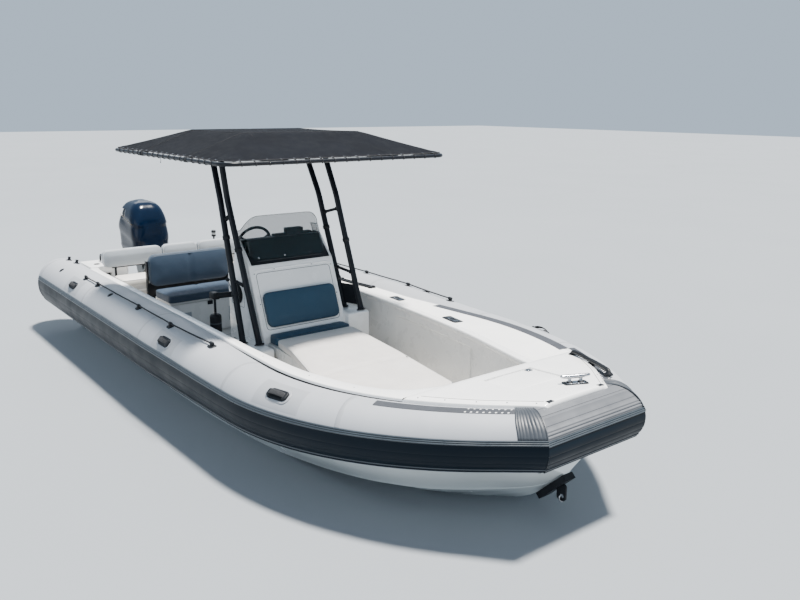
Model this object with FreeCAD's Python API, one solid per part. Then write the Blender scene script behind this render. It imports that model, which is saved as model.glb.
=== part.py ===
import FreeCAD, Part
import os, math

# Rigid inflatable boat.  Millimetres, +X forward, +Y port, +Z up.
# Origin: transom face, centreline, waterline.
V = FreeCAD.Vector
os.makedirs("parts", exist_ok=True)

# ---------------------------------------------------------------- sizes
TUBE_R = 278.0          # radius of the inflated side tubes aft
BOW_R = 189.0           # radius they taper to at the bow
TAPER_X0, TAPER_X1 = 3150.0, 6510.0  # stations the taper runs between
TUBE_Y = 1182.0         # half distance between the side tube centrelines
TUBE_Z = 530.0          # height of the tube centreline over the waterline, aft
SHEER_X = 4200.0        # where the tubes begin to rise
SHEER_K = 2.57e-5       # rise = SHEER_K (x - SHEER_X)^2
TURN_X = 4626.0         # where they turn in
TURN_R = 2684.0         # radius of that turn in plan
TURN_DEG = 40.4
MITRE_X, MITRE_Y = 6575.0, 363.0     # mitred bow corners
STERN_X = -150.0        # where the full round of the tube begins
CONE_X = -405.0         # aft end of the tapered tube end
BAND_IN, BAND_OUT = 1.0, 15.0        # rubbing band, stand-off from the tube
BAND_TOP, BAND_LOW = 21.7, -44.1     # its edges, degrees over the horizontal

SOLE_Z = 140.0          # top of the cockpit floor
SOLE_T = 24.0

CONSOLE_Y = 450.0       # half width of the console
CONSOLE_FRONT = 3405.0
CONSOLE_AFT = 2740.0
SCREEN_T = 6.0

SEAT_X1 = 3560.0        # forward edge of the seat on the console front
PAD_X1 = 5320.0         # forward end of the sun platform
PAD_Z = 505.0           # underside of its cushion
PAD_TOP = 590.0

LEG_R = 28.0            # shelter frame tubes
HOOP_R = 17.0
TOP_X0, TOP_X1 = 1686.0, 4089.0      # shelter frame, fore and aft
TOP_Y = 1080.0
TOP_Z = 2160.0
TOP_CROWN = 205.0       # rise of the roof over the frame
ROOF_T = 5.0
BAY_X = (2430.0, 3400.0)             # roof bows

HELM_Y = -130.0         # centreline of the helm seat
HELM_HALF = 470.0
BACK_GAP = 62.0         # backrest set aft of the base, clear of the lifting cushion
BENCH_X = 420.0         # aft face of the stern backrests
BENCH_TOP = 958.0

TILT_X, TILT_Z = -270.0, 600.0       # engine tilt axis, before it is set down by ENGINE_DZ
STEER_X = -400.0        # engine steering axis
PROP_X, PROP_Z = -742.0, -640.0      # propeller hub, forward face of the hub
PROP_R = 195.0
ENGINE_DZ = -80.0

# ---------------------------------------------------------------- helpers
NODES = {}

def put(node, *shapes):
    shapes = [s.removeSplitter() if len(s.Faces) > 60 else s for s in shapes]
    out = shapes[0] if len(shapes) == 1 else Part.makeCompound(shapes)
    if not out.isValid():
        print("NOT VALID", node)
    out.exportStep("parts/%s.step" % node)
    NODES[node] = out
    bb = out.BoundBox
    print("%-26s solids %2d  vol %9.3f l  x %7.0f %7.0f  y %7.0f %7.0f  z %7.0f %7.0f" % (
        node, len(out.Solids), out.Volume / 1e6, bb.XMin, bb.XMax, bb.YMin, bb.YMax, bb.ZMin, bb.ZMax))

def box(x0, x1, y0, y1, z0, z1):
    return Part.makeBox(x1 - x0, y1 - y0, z1 - z0, V(x0, y0, z0))

def rod(p, q, r):
    p, q = V(*p), V(*q)
    return Part.makeCylinder(r, (q - p).Length, p, q - p)

def ball(p, r):
    return Part.makeSphere(r, V(*p))

def poly(points):
    pts = [V(*p) for p in points]
    return Part.makePolygon(pts + [pts[0]])

def prism(points, along):
    return Part.Face(poly(points)).extrude(V(*along))

def loft(sections):
    return Part.makeLoft([poly(s) for s in sections], True, True)

def rounded(shape, r, test):
    edges = [e for e in shape.Edges if test(e)]
    return shape.makeFillet(r, edges)

def along(e, axis):
    a, b = e.Vertexes[0].Point, e.Vertexes[-1].Point
    d = b - a
    if d.Length < 1e-6:
        return False
    d.normalize()
    return abs(getattr(d, axis)) > 0.999

def slab(x0, x1, y0, y1, z0, z1, r, axis="z"):
    return rounded(box(x0, x1, y0, y1, z0, z1), r, lambda e: along(e, axis))

def soft(x0, x1, y0, y1, z0, z1, r):
    b = box(x0, x1, y0, y1, z0, z1)
    return b.makeFillet(r, b.Edges)

def bent(points, r, bend):
    """Round bar along straight runs joined by tangent arcs of radius bend."""
    pts = [V(*p) for p in points]
    edges, last = [], pts[0]
    for i in range(1, len(pts) - 1):
        a, b, c = pts[i - 1], pts[i], pts[i + 1]
        u, w = (a - b), (c - b)
        u.normalize(); w.normalize()
        ang = math.pi - u.getAngle(w)
        t = bend * math.tan(ang / 2)
        p1, p2 = b + u * t, b + w * t
        bis = u + w
        bis.normalize()
        cen = b + bis * (bend / math.cos(ang / 2))
        mid = cen - bis * bend
        if (p1 - last).Length > 1e-6:
            edges.append(Part.LineSegment(last, p1).toShape())
        edges.append(Part.Arc(p1, mid, p2).toShape())
        last = p2
    edges.append(Part.LineSegment(last, pts[-1]).toShape())
    wire = Part.Wire(edges)
    d = pts[1] - pts[0]
    ring = Part.Wire([Part.Circle(pts[0], d, r).toShape()])
    return wire.makePipeShell([ring], True, False)

def mirror(shape):
    return shape.mirror(V(0, 0, 0), V(0, 1, 0))

def turned(shape, base, axis, deg):
    s = shape.copy()
    s.rotate(V(*base), V(*axis), deg)
    return s

# ---------------------------------------------------------------- tube path
TURN_X1 = TURN_X + TURN_R * math.sin(math.radians(TURN_DEG))
TURN_Y1 = TUBE_Y - TURN_R * (1 - math.cos(math.radians(TURN_DEG)))

def radius(x):
    f = min(1.0, max(0.0, (x - TAPER_X0) / (TAPER_X1 - TAPER_X0)))
    return TUBE_R + f * (BOW_R - TUBE_R)

def centre(x):
    """Centreline of the port tube over station x: (y, z)."""
    z = TUBE_Z + SHEER_K * max(0.0, x - SHEER_X) ** 2
    if x <= TURN_X:
        y = TUBE_Y
    elif x <= TURN_X1:
        y = TUBE_Y - (TURN_R - math.sqrt(TURN_R ** 2 - (x - TURN_X) ** 2))
    else:
        y = TURN_Y1 - (x - TURN_X1) * (TURN_Y1 - MITRE_Y) / (MITRE_X - TURN_X1)
    return y, z

def station(x):
    """Point of the port centreline with the outboard and upward directions there."""
    y, z = centre(x)
    (ya, za), (yb, zb) = centre(x - 2), centre(x + 2)
    t = V(4, yb - ya, zb - za)
    t.normalize()
    out = V(-t.y, t.x, 0)
    out.normalize()
    return V(x, y, z), out, t.cross(out)

STATIONS = [STERN_X, 3150, 3700, 4200, 4630, 4900, 5170, 5440, 5700, 5940, 6160, 6366, 6560, 6900]

def ring(x, r):
    c, out, up = station(x)
    p = lambda a: c + out * (r * math.cos(a)) + up * (r * math.sin(a))
    return Part.Wire([Part.Arc(p(0), p(math.pi / 2), p(math.pi)).toShape(),
                      Part.Arc(p(math.pi), p(1.5 * math.pi), p(0)).toShape()])

def sector(c, out, up, a0, a1, r0, r1):
    """Closed wire of an annular sector round c; angles over the outboard way."""
    def p(r, a):
        a = math.radians(a)
        return c + out * (r * math.cos(a)) + up * (r * math.sin(a))
    m = (a0 + a1) / 2
    return Part.Wire([Part.Arc(p(r1, a0), p(r1, m), p(r1, a1)).toShape(),
                      Part.LineSegment(p(r1, a1), p(r0, a1)).toShape(),
                      Part.Arc(p(r0, a1), p(r0, m), p(r0, a0)).toShape(),
                      Part.LineSegment(p(r0, a0), p(r1, a0)).toShape()])

def mitre_block(side, inner):
    """Half space at a bow corner: inner True keeps the transverse bow length."""
    a = math.radians(TURN_DEG)
    n = V(math.cos(a), -math.sin(a) - 1.0, 0)
    n.normalize()
    w = V(-n.y, n.x, 0)
    c = V(MITRE_X, MITRE_Y, centre(MITRE_X)[1])
    big = 9000.0
    up = V(0, 0, 1)
    a = c - w * big - up * big
    f = Part.Face(Part.makePolygon([a, a + w * 2 * big, a + w * 2 * big + up * 2 * big, a + up * 2 * big, a]))
    blk = f.extrude(n * (12000.0 if inner else -12000.0))
    return blk if side > 0 else mirror(blk)

def side_tube(grow):
    """Port side tube up to the mitre, with its tapered, rounded stern end."""
    body = Part.makeLoft([ring(x, radius(x) + grow) for x in STATIONS], True, True)
    body = body.common(mitre_block(1, False))
    r, yz = TUBE_R + grow, (TUBE_Y, TUBE_Z)
    p = lambda x, h: V(x, TUBE_Y, TUBE_Z + h)
    cap = Part.Wire([
        Part.LineSegment(p(STERN_X, 0), p(STERN_X, r)).toShape(),
        Part.Arc(p(STERN_X, r), p(STERN_X - 118, r - 26), p(CONE_X + 34, 158)).toShape(),
        Part.LineSegment(p(CONE_X + 34, 158), p(CONE_X, 100)).toShape(),
        Part.LineSegment(p(CONE_X, 100), p(CONE_X, 0)).toShape(),
        Part.LineSegment(p(CONE_X, 0), p(STERN_X, 0)).toShape()])
    return body.fuse(Part.Face(cap).revolve(V(0, TUBE_Y, TUBE_Z), V(1, 0, 0), 360))

def bow_tube(grow):
    z = centre(MITRE_X)[1]
    b = Part.makeCylinder(BOW_R + grow, 2400, V(MITRE_X, -1200, z), V(0, 1, 0))
    return b.common(mitre_block(1, True)).common(mitre_block(-1, True))

# ---------------------------------------------------------------- tubes
port = side_tube(0)
put("tube_port", port)
put("tube_starboard", mirror(port))
put("tube_bow", bow_tube(0))
grown = side_tube(4)
GROWN = [grown, mirror(grown), bow_tube(4)]

def clear_of_tubes(shape):
    for g in GROWN:
        shape = shape.cut(g)
    solids = sorted(shape.Solids, key=lambda k: -k.Volume)
    return solids[0]

# ---------------------------------------------------------------- rubbing band
wires = []
for x in STATIONS:
    c, out, up = station(x)
    wires.append(sector(c, out, up, BAND_TOP, BAND_LOW, radius(x) + BAND_IN, radius(x) + BAND_OUT))
band = Part.makeLoft(wires, True, True).common(mitre_block(1, False))
b1 = V(MITRE_X, -1200, centre(MITRE_X)[1])
bowband = Part.Face(sector(b1, V(1, 0, 0), V(0, 0, 1), BAND_TOP, BAND_LOW, BOW_R + BAND_IN, BOW_R + BAND_OUT)).extrude(V(0, 2400, 0))
bowband = bowband.common(mitre_block(1, True)).common(mitre_block(-1, True))
put("rub_band", bowband.fuse([band, mirror(band)]))

# ---------------------------------------------------------------- hull
# columns: station x, keel z, chine half breadth, chine z
HULL = [(0, -470, 1030, -60), (3150, -465, 1020, -40), (4200, -440, 965, -5), (4900, -385, 880, 45), (5400, -290, 795, 105),
        (5720, -195, 690, 148), (5900, -120, 560, 155), (6100, -10, 340, 165), (6250, 72, 130, 172), (6400, 195, 40, 232),
        (6540, 330, 30, 352)]
# columns: station x, half breadth of the cockpit between its inner walls
WALL = [(62, 918), (440, 918), (600, 836), (3300, 832), (3600, 800), (4300, 710), (4950, 607), (5450, 472), (5876, 336)]
# the starboard wall stands further out, under a narrow side deck.  columns: station x, half breadth at the sole, at the deck
WALL_S = [(62, 885, 918), (440, 885, 955), (600, 885, 978), (3600, 885, 978), (4300, 890, 1000), (4950, 845, 985), (5450, 700, 880), (5700, 530, 760), (5820, 420, 600), (5876, 336, 336)]
WALL_X = sorted({r[0] for r in WALL} | {r[0] for r in WALL_S})

def at(table, x, col):
    for a, b in zip(table, table[1:]):
        if x <= b[0]:
            f = (x - a[0]) / (b[0] - a[0])
            return a[col] + max(0.0, f) * (b[col] - a[col])
    return table[-1][col]

def low_of(x):
    """Top of the hull under the side tubes."""
    return centre(x)[1] - radius(x) - 9

sections = []
for x, zk, yc, zc in HULL:
    yt, zt = centre(x)[0] - 20, low_of(x)
    if x > 6500:
        yt = 330
    flat = min(45, yc * 0.4)
    zf = zc - 12
    pts = [(0, zk), (yc - flat, zf), (yc, zc), (yt, zt)]
    sections.append([(x, y, z) for y, z in pts] + [(x, -y, z) for y, z in reversed(pts[1:])])
hull = loft(sections)
FLOOR = SOLE_Z - SOLE_T - 4
def across(x, inset, z0, z1):
    ys, y = at(WALL_S, x, 1) - inset, at(WALL, x, 1) - inset
    return [(x, -ys, z0), (x, y, z0), (x, y, z1), (x, -ys, z1)]
well = loft([across(x, 0, FLOOR, 900) for x in WALL_X])
hull = clear_of_tubes(hull.cut(well))
put("hull", hull)

# ---------------------------------------------------------------- transom, sole
transom = prism([(2, -700, 248), (2, 700, 248), (2, 700, 400), (2, 430, 410), (2, 350, 530),
                 (2, -350, 530), (2, -430, 410), (2, -700, 400)], (58, 0, 0))
put_transom = [transom]
for s in (1, -1):
    y0, y1 = sorted((s * 590, s * 1015))
    q = box(-20, 425, y0, y1, 252, 772)
    q = rounded(q, 45, lambda e: along(e, "z") and e.Vertexes[0].X > 0 and abs(e.Vertexes[0].Y) < 700)
    q = q.cut(box(60, 365, s * 750 - 120, s * 750 + 120, 200, 560))
    q = q.cut(box(360, 430, *sorted((s * 790, s * 908)), 600, 705))
    transom = transom.fuse(q)
put("transom", clear_of_tubes(transom))
FOOT = 3.0
sole = loft([across(x, FOOT, SOLE_Z - SOLE_T, SOLE_Z) for x in [66] + WALL_X[1:-1] + [5870]])
sole = sole.cut(box(0, 430, -1100, -580, 0, 300)).cut(box(0, 430, 580, 1100, 0, 300))
put("cockpit_sole", sole)

# ---------------------------------------------------------------- side decks
# columns: station x, height of the cap, how far its lip stands inboard of the tube centreline
CAP = [(430, 767, 143), (3600, 767, 143), (4300, 782, 112), (4950, 793, 84), (5450, 806, 70), (5880, 828, 60), (6300, 858, 55), (6590, 880, 78)]
sections = []
for x in (430, 600, 3300, 3600, 4300, 4950, 5450, 5876):
    cy, cz = centre(x)
    yw, low, r = at(WALL, x, 1), low_of(x) + 6, radius(x)
    top, lip = at(CAP, x, 1), cy - at(CAP, x, 2)
    sections.append([(x, yw, low), (x, yw + 4, top - 24), (x, yw + 4, top), (x, lip, top), (x, lip, top - 24),
                     (x, cy - 0.74 * r, cz), (x, cy - 0.74 * r, low)])
deck = clear_of_tubes(loft(sections))
sections = []
for x in (430, 600, 3300, 3600, 4300, 4950, 5450, 5700, 5820, 5876):
    cy, cz = centre(x)
    yb, yt, low, r = at(WALL_S, x, 1), at(WALL_S, x, 2), low_of(x) + 6, radius(x)
    top, lip = at(CAP, x, 1), cy - at(CAP, x, 2)
    sections.append([(x, -yb, low), (x, -yb, cz + 40), (x, -yt, top - 45), (x, -yt, top), (x, -lip, top), (x, -lip, top - 24),
                     (x, -cy + 0.74 * r, cz), (x, -cy + 0.74 * r, low)])
put("side_deck_starboard", clear_of_tubes(loft(sections)))
put("side_deck_port", deck)

# ---------------------------------------------------------------- bow deck
sections = []
for x, low in ((5880, low_of(5880) + 6), (6300, low_of(6300) + 30), (6590, 700)):
    cy, cz = centre(x)
    top, lip = at(CAP, x, 1), cy - at(CAP, x, 2)
    if x > 6500:
        lip = 285
    yl = cy - 0.74 * radius(x) if x < 6500 else 220
    half = [(0, low), (yl, low), (yl, cz), (lip, top - 24), (lip, top), (lip - 45, top + 10), (0, top + 16)]
    sections.append([(x, y, z) for y, z in half] + [(x, -y, z) for y, z in reversed(half[1:-1])])
bowdeck = clear_of_tubes(loft(sections))
# anchor locker: an open well with a rebated lid
LID_X0, LID_X1, LID_Y = 5985.0, 6290.0, 225.0
top0 = lambda x: at(CAP, x, 1) - 8
well = box(LID_X0 + 12, LID_X1 - 12, -LID_Y + 12, LID_Y - 12, 500, 1000)
rebate = prism([(LID_X0, -LID_Y, top0(LID_X0)), (LID_X1, -LID_Y, top0(LID_X1)), (LID_X1, -LID_Y, top0(LID_X1) + 200),
                (LID_X0, -LID_Y, top0(LID_X0) + 200)], (0, 2 * LID_Y, 0))
bowdeck = bowdeck.cut(well).cut(rebate)
put("bow_deck", bowdeck)
g = 6.0
def lid_sec(x):
    z0 = top0(x) + 5
    return [(x, -LID_Y + g, z0), (x, LID_Y - g, z0), (x, LID_Y - g, z0 + 12), (x, 0, z0 + 19), (x, -LID_Y + g, z0 + 12)]
lid = loft([lid_sec(LID_X0 + g), lid_sec(LID_X1 - g)])
put("anchor_locker_lid", lid)
LID_HINGE = (LID_X0 + 2, 0, top0(LID_X0) + 22)
print("anchor lid hinge", LID_HINGE)

# ---------------------------------------------------------------- sun platform
# columns: station x, half breadth to port, to starboard
PAD = [(3412, 405, 405), (3900, 341, 445), (4450, 270, 605), (5000, 172, 705), (5320, 115, 610)]
base = loft([[(x, -v, SOLE_Z + 3), (x, w, SOLE_Z + 3), (x, w, PAD_Z - 3), (x, -v, PAD_Z - 3)] for x, w, v in PAD])
put("sunpad_base", base)
cush = [(SEAT_X1 + 4, 400, 400), (3900, 354, 453), (4450, 278, 613), (5000, 180, 713), (PAD_X1 + 8, 123, 618)]
pad = prism([(x, -v, PAD_Z) for x, w, v in cush] + [(x, w, PAD_Z) for x, w, v in reversed(cush)], (0, 0, PAD_TOP - PAD_Z))
pad = pad.makeFillet(22, pad.Edges)
put("sunpad_cushion", pad)

# ---------------------------------------------------------------- console
FLOOR_Z = SOLE_Z + 3
prof = [(CONSOLE_AFT, FLOOR_Z), (CONSOLE_FRONT, FLOOR_Z), (CONSOLE_FRONT, 560), (3170, 1170), (2965, 1385), (2935, 1390), (2840, 1080), (CONSOLE_AFT, 1050)]
con = prism([(x, -CONSOLE_Y, z) for x, z in prof], (0, 2 * CONSOLE_Y, 0))
front = [e for e in con.Edges if not along(e, "y") and not along(e, "z") and min(v.X for v in e.Vertexes) > 3100]
con = con.makeFillet(35, front)
# footings beside it carry the shelter legs
plinths = [box(3095, 3458, CONSOLE_Y - 8, 690, FLOOR_Z, 652), box(3095, 3600, -868, -CONSOLE_Y + 8, FLOOR_Z, 505)]
foot = box(CONSOLE_AFT - 20, CONSOLE_FRONT, -CONSOLE_Y - 15, CONSOLE_Y + 15, FLOOR_Z, 240)
console = con.fuse([foot] + plinths)
put("console", console)
# teal backrest on the sloping front, teal seat at its foot
lean = math.degrees(math.atan2(CONSOLE_FRONT - 3170, 1170 - 560))
def on_front(shape):
    return turned(shape, (CONSOLE_FRONT, 0, 560), (0, 1, 0), -lean)
backrest = on_front(soft(CONSOLE_FRONT + 3, CONSOLE_FRONT + 48, -375, 375, 642, 950, 21))
put("console_backrest", backrest)
put("console_seat_cushion", soft(CONSOLE_FRONT + 5, SEAT_X1, -392, 392, PAD_Z, PAD_TOP + 8, 24))

# windscreen: bent sheet over the console top, in straight facets
def screen(x, w, back, z, t):
    c = 80
    outer = [(x - back, w), (x - c, w), (x, w - c), (x, -w + c), (x - c, -w), (x - back, -w)]
    inner = [(x - back, -w + t), (x - c, -w + t), (x - t, -w + c), (x - t, w - c), (x - c, w - t), (x - back, w - t)]
    return [(a, b, z) for a, b in outer + inner]
put("windscreen", loft([screen(3148, 440, 200, 1196, SCREEN_T), screen(3028, 405, 240, 1600, SCREEN_T)]).cut(con))

# dash: dark panel on the sloping face and instruments over it
dash_ang = math.degrees(math.atan2(95, 310))
def on_dash(shape):
    return turned(shape, (2840, 0, 1080), (0, 1, 0), dash_ang)
put("dash_panel", on_dash(slab(2824, 2836, -350, 390, 1105, 1380, 30, "x")),
    slab(2942, 3010, 20, 270, 1397, 1452, 18, "x"))
# controls on the starboard side: round base, arm, lever, and a canister hung from it
unit = rod((2940, -CONSOLE_Y - 2, 880), (2940, -CONSOLE_Y - 30, 880), 95)
unit = unit.fuse(rod((2940, -CONSOLE_Y - 20, 880), (2868, -648, 872), 27)).fuse(slab(2800, 2905, -680, -610, 838, 905, 18, "z"))
unit = unit.fuse(rod((2900, -CONSOLE_Y - 55, 880), (2880, -CONSOLE_Y - 70, 1010), 9)).fuse(ball((2880, -CONSOLE_Y - 70, 1010), 20))
unit = unit.fuse(rod((2852, -645, 850), (2852, -645, 695), 9)).fuse(rod((2852, -645, 700), (2852, -645, 456), 55))
put("throttle_control", unit)

# steering wheel on a hub, square to the dash
WHEEL_Z = 1265.0
nx, nz = -math.cos(math.radians(dash_ang)), math.sin(math.radians(dash_ang))
dash_pt = V(2840 + (WHEEL_Z - 1080) * 95 / 310.0, -195, WHEEL_Z)
axis = V(nx, 0, nz)
wc = dash_pt + axis * 105
rim = Part.makeTorus(178, 15, wc, axis)
hub = Part.makeCylinder(34, 44, wc - axis * 26, axis)
shaft = Part.makeCylinder(16, 70, wc - axis * 86, axis)
wheel = rim.fuse(hub).fuse(shaft)
u = V(0, 1, 0)
v = axis.cross(u)
for k in range(3):
    a = math.radians(90 + 120 * k)
    d = u * math.cos(a) + v * math.sin(a)
    spoke = Part.makeCylinder(9, 155, wc + d * 22, d)
    wheel = wheel.fuse(spoke)
put("steering_wheel", wheel)
print("wheel centre", wc, "axis", axis)

# ---------------------------------------------------------------- shelter frame
# columns: foot x, foot y, knee x, knee y, knee z, top x, top y
LEGS = {1: [(3200, 562, 2830, 520, 1750, 2600, 515), (3395, 628, 3060, 575, 1750, 2880, 560)],
        -1: [(3300, 600, 2840, 535, 1745, 2660, 515), (3420, 500, 2910, 500, 1751, 2850, 520)]}
LEG_Z0, LEG_Z1 = {1: 664.0, -1: 517.0}, 2124.0
def legs(side):
    out = []
    z0 = LEG_Z0[side]
    for fx, fy, kx, ky, kz, tx, ty in LEGS[side]:
        out.append(bent([(fx, side * fy, z0), (kx, side * ky, kz), (tx, side * ty, LEG_Z1)], LEG_R, 620))
        out.append(Part.makeCylinder(46, 11, V(fx, side * fy, z0 - 10), V(0, 0, 1)))
    def on(leg, z):
        fx, fy, kx, ky, kz = leg[:5]
        f = (z - z0) / (kz - z0)
        return (fx + (kx - fx) * f, side * (fy + (ky - fy) * f), z)
    a, b = LEGS[side]
    for z, dz in ((1045, -40), (1560, 60)):
        out.append(rod(on(a, z), on(b, z + dz), 15))
    if side > 0:
        p, q, u2, w2 = on(a, 700), on(b, 700), on(b, 890), on(a, 890)
        k = (q[1] - p[1]) / (q[0] - p[0])
        out.append(prism([(x, p[1] + k * (x - p[0]) - 5, z) for x, y, z in (p, q, u2, w2)], (0, 10, 0)))
    body = out[0]
    for s in out[1:]:
        body = body.fuse(s)
    return body
put("shelter_legs_port", legs(1))
put("shelter_legs_starboard", legs(-1))

# roof frame: perimeter hoop, two longitudinals under it and two crowned bows
hoop = bent([(TOP_X1, 0, TOP_Z), (TOP_X1, TOP_Y, TOP_Z), (TOP_X0, TOP_Y, TOP_Z), (TOP_X0, -TOP_Y, TOP_Z), (TOP_X1, -TOP_Y, TOP_Z), (TOP_X1, 0, TOP_Z)], HOOP_R, 110)
top = hoop
for s in (1, -1):
    top = top.fuse(rod((TOP_X0, s * 537, TOP_Z), (TOP_X1, s * 537, TOP_Z), 19))
for x in BAY_X:
    zc_ = TOP_Z + TOP_CROWN - HOOP_R - 6
    top = top.fuse(rod((x, -TOP_Y, TOP_Z), (x, -560, zc_), 14)).fuse(rod((x, -560, zc_), (x, 560, zc_), 14)).fuse(rod((x, 560, zc_), (x, TOP_Y, TOP_Z), 14))
    top = top.fuse(ball((x, -560, zc_), 14)).fuse(ball((x, 560, zc_), 14))
put("shelter_roof_frame", top)

# roof cloth: hipped sheet stretched over the bows
def roof(dz):
    e = 8
    lo = [(TOP_X0 - e, -TOP_Y - e), (TOP_X1 + e, -TOP_Y - e), (TOP_X1 + e, TOP_Y + e), (TOP_X0 - e, TOP_Y + e)]
    hi = [(2360, -560), (3470, -560), (3470, 560), (2360, 560)]
    zlo, zhi = TOP_Z + HOOP_R + 3 + dz, TOP_Z + TOP_CROWN + 6 + dz
    return [V(x, y, zlo) for x, y in lo], [V(x, y, zhi) for x, y in hi]
(al, ah), (bl, bh) = roof(ROOF_T), roof(0)
faces = [Part.Face(Part.makePolygon(ah + [ah[0]])), Part.Face(Part.makePolygon(bh + [bh[0]]))]
for i in range(4):
    j = (i + 1) % 4
    faces.append(Part.Face(Part.makePolygon([al[i], al[j], ah[j], ah[i], al[i]])))
    faces.append(Part.Face(Part.makePolygon([bl[i], bl[j], bh[j], bh[i], bl[i]])))
    faces.append(Part.Face(Part.makePolygon([al[i], al[j], bl[j], bl[i], al[i]])))
sheet = Part.Solid(Part.Shell(faces))
put("canopy", sheet)

# ---------------------------------------------------------------- helm seat
hx0, hx1 = 1115.0, 1635.0
hb = slab(hx0 + 30, hx1 - 40, HELM_Y - HELM_HALF + 20, HELM_Y + HELM_HALF - 20, SOLE_Z + 2, 505, 30)
hb = hb.cut(box(hx0 + 55, hx1 - 65, HELM_Y - HELM_HALF + 45, HELM_Y + HELM_HALF - 45, SOLE_Z + 40, 700))
put("helm_seat_base", hb)
put("helm_seat_lid", slab(hx0 + 80, hx1 - 20, HELM_Y - HELM_HALF + 10, HELM_Y + HELM_HALF - 10, 511, 529, 20))
put("helm_seat_cushion", soft(hx0 + 95, hx1, HELM_Y - HELM_HALF, HELM_Y + HELM_HALF, 531, 631, 30))
bx = hx0 - BACK_GAP
hf = [box(bx - 22, bx + 26, HELM_Y + s * (HELM_HALF + 14) - 8, HELM_Y + s * (HELM_HALF + 14) + 8, 430, 900) for s in (1, -1)]
hf.append(box(bx - 22, bx - 10, HELM_Y - HELM_HALF - 8, HELM_Y + HELM_HALF + 8, 430, 650))
hf.append(box(bx - 10, hx0 + 30, HELM_Y - 180, HELM_Y + 180, 430, 490))
fr = hf[0]
for s in hf[1:]:
    fr = fr.fuse(s)
put("helm_seat_frame", fr)
put("helm_seat_backrest", soft(bx - 8, bx + 82, HELM_Y - HELM_HALF + 2, HELM_Y + HELM_HALF - 2, 652, 970, 30))
HELM_HINGE = (hx0 + 86, HELM_Y, 520)
print("helm hinge", HELM_HINGE)

# ---------------------------------------------------------------- stern bench
bb = box(BENCH_X + 22, 820, -826, 826, SOLE_Z + 2, 598)
bb = bb.cut(box(400, 612, -900, -822, 0, 700)).cut(box(400, 612, 822, 900, 0, 700))
for y0 in (-730, -225, 280):
    bb = bb.cut(box(560, 900, y0, y0 + 450, SOLE_Z + 60, 530))
put("stern_bench_base", bb)
put("stern_bench_cushion", *[soft(BENCH_X + 102, 845, y0 + 3, y1 - 3, 601, 690, 26) for y0, y1 in ((-815, -206), (-200, 240), (246, 815))])
put("stern_backrests", *[soft(BENCH_X, BENCH_X + 92, y0, y1, 778, BENCH_TOP, 28) for y0, y1 in ((-900, -212), (-198, 232), (246, 900))])
br = rod((BENCH_X + 45, -800, 762), (BENCH_X + 45, 800, 762), 13)
POSTS = (-760, -330, 350, 760)
for y in POSTS:
    br = br.fuse(rod((BENCH_X + 45, y, 600), (BENCH_X + 45, y, 765), 12))

# grab rails on the white steps of the quarters
rails = []
for s in (1, -1):
    y = s * 800
    rails.append(bent([(60, y, 774), (60, y, 852), (360, y, 852), (360, y, 774)], 11, 40))
put("stern_rails", br, *rails)
put("stern_light", rod((60, 655, 774), (60, 655, 790), 24).fuse(rod((60, 655, 785), (60, 655, 940), 9)).fuse(rod((60, 655, 936), (60, 655, 1010), 24)))

# ---------------------------------------------------------------- engine
def set_down(shape):
    s = shape.copy()
    s.translate(V(0, 0, ENGINE_DZ))
    return s

def holed(s, r):
    return s.cut(rod((TILT_X, -400, TILT_Z), (TILT_X, 400, TILT_Z), r))
clamp = []
for s in (1, -1):
    y = s * 150
    ear = prism([(-1, y - 14, 250), (-1, y - 14, 625), (-60, y - 14, 618), (TILT_X - 10, y - 14, TILT_Z + 45), (TILT_X - 45, y - 14, TILT_Z),
                 (TILT_X - 20, y - 14, TILT_Z - 45), (-110, y - 14, 330), (-60, y - 14, 250)], (0, 28, 0))
    clamp.append(holed(ear, 20.5))
web = box(-34, -1, -136, 136, 300, 560)
put("engine_clamp", set_down(clamp[0].fuse(clamp[1]).fuse(web)))
tilt = rod((TILT_X, -176, TILT_Z), (TILT_X, 176, TILT_Z), 20)
sw = box(STEER_X + 10, TILT_X + 34, -125, 125, 560, 640)
sw = sw.fuse(rod((STEER_X, 0, 330), (STEER_X, 0, 640), 52)).fuse(tilt)
sw = sw.cut(rod((STEER_X, 0, 300), (STEER_X, 0, 700), 26))
put("engine_swivel", set_down(sw))
# steering pin and the carriers that hold the mid section to it
pin = rod((STEER_X, 0, 312), (STEER_X, 0, 660), 25.9)
mid = loft([[(-460, -60, -330), (-640, -45, -330), (-640, 45, -330), (-460, 60, -330)],
            [(-470, -85, 300), (-700, -70, 300), (-700, 70, 300), (-470, 85, 300)],
            [(-470, -120, 640), (-740, -110, 640), (-740, 110, 640), (-470, 120, 640)]])
arms = box(-500, STEER_X + 30, -60, 60, 275, 312).fuse(box(-500, STEER_X + 30, -70, 70, 650, 690))
pan = slab(-800, -330, -190, 190, 690, 725, 60).fuse(box(-740, -470, -110, 110, 640, 700))
put("engine_midsection", set_down(mid.fuse(arms).fuse(pin).fuse(pan)))
# cowl: columns are height, aft x, fore x, half width, corner cut
COWL = [(728, -885, -330, 200, 90), (850, -965, -318, 236, 105), (1120, -985, -335, 243, 115), (1340, -930, -400, 205, 115), (1455, -845, -500, 130, 85)]
secs = []
for z, xa, xf, w, c in COWL:
    secs.append([(xa + c, -w, z), (xf - c, -w, z), (xf, -w + c, z), (xf, w - c, z), (xf - c, w, z), (xa + c, w, z), (xa, w - c, z), (xa, -w + c, z)])
put("engine_cowl", set_down(loft(secs)))
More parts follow.
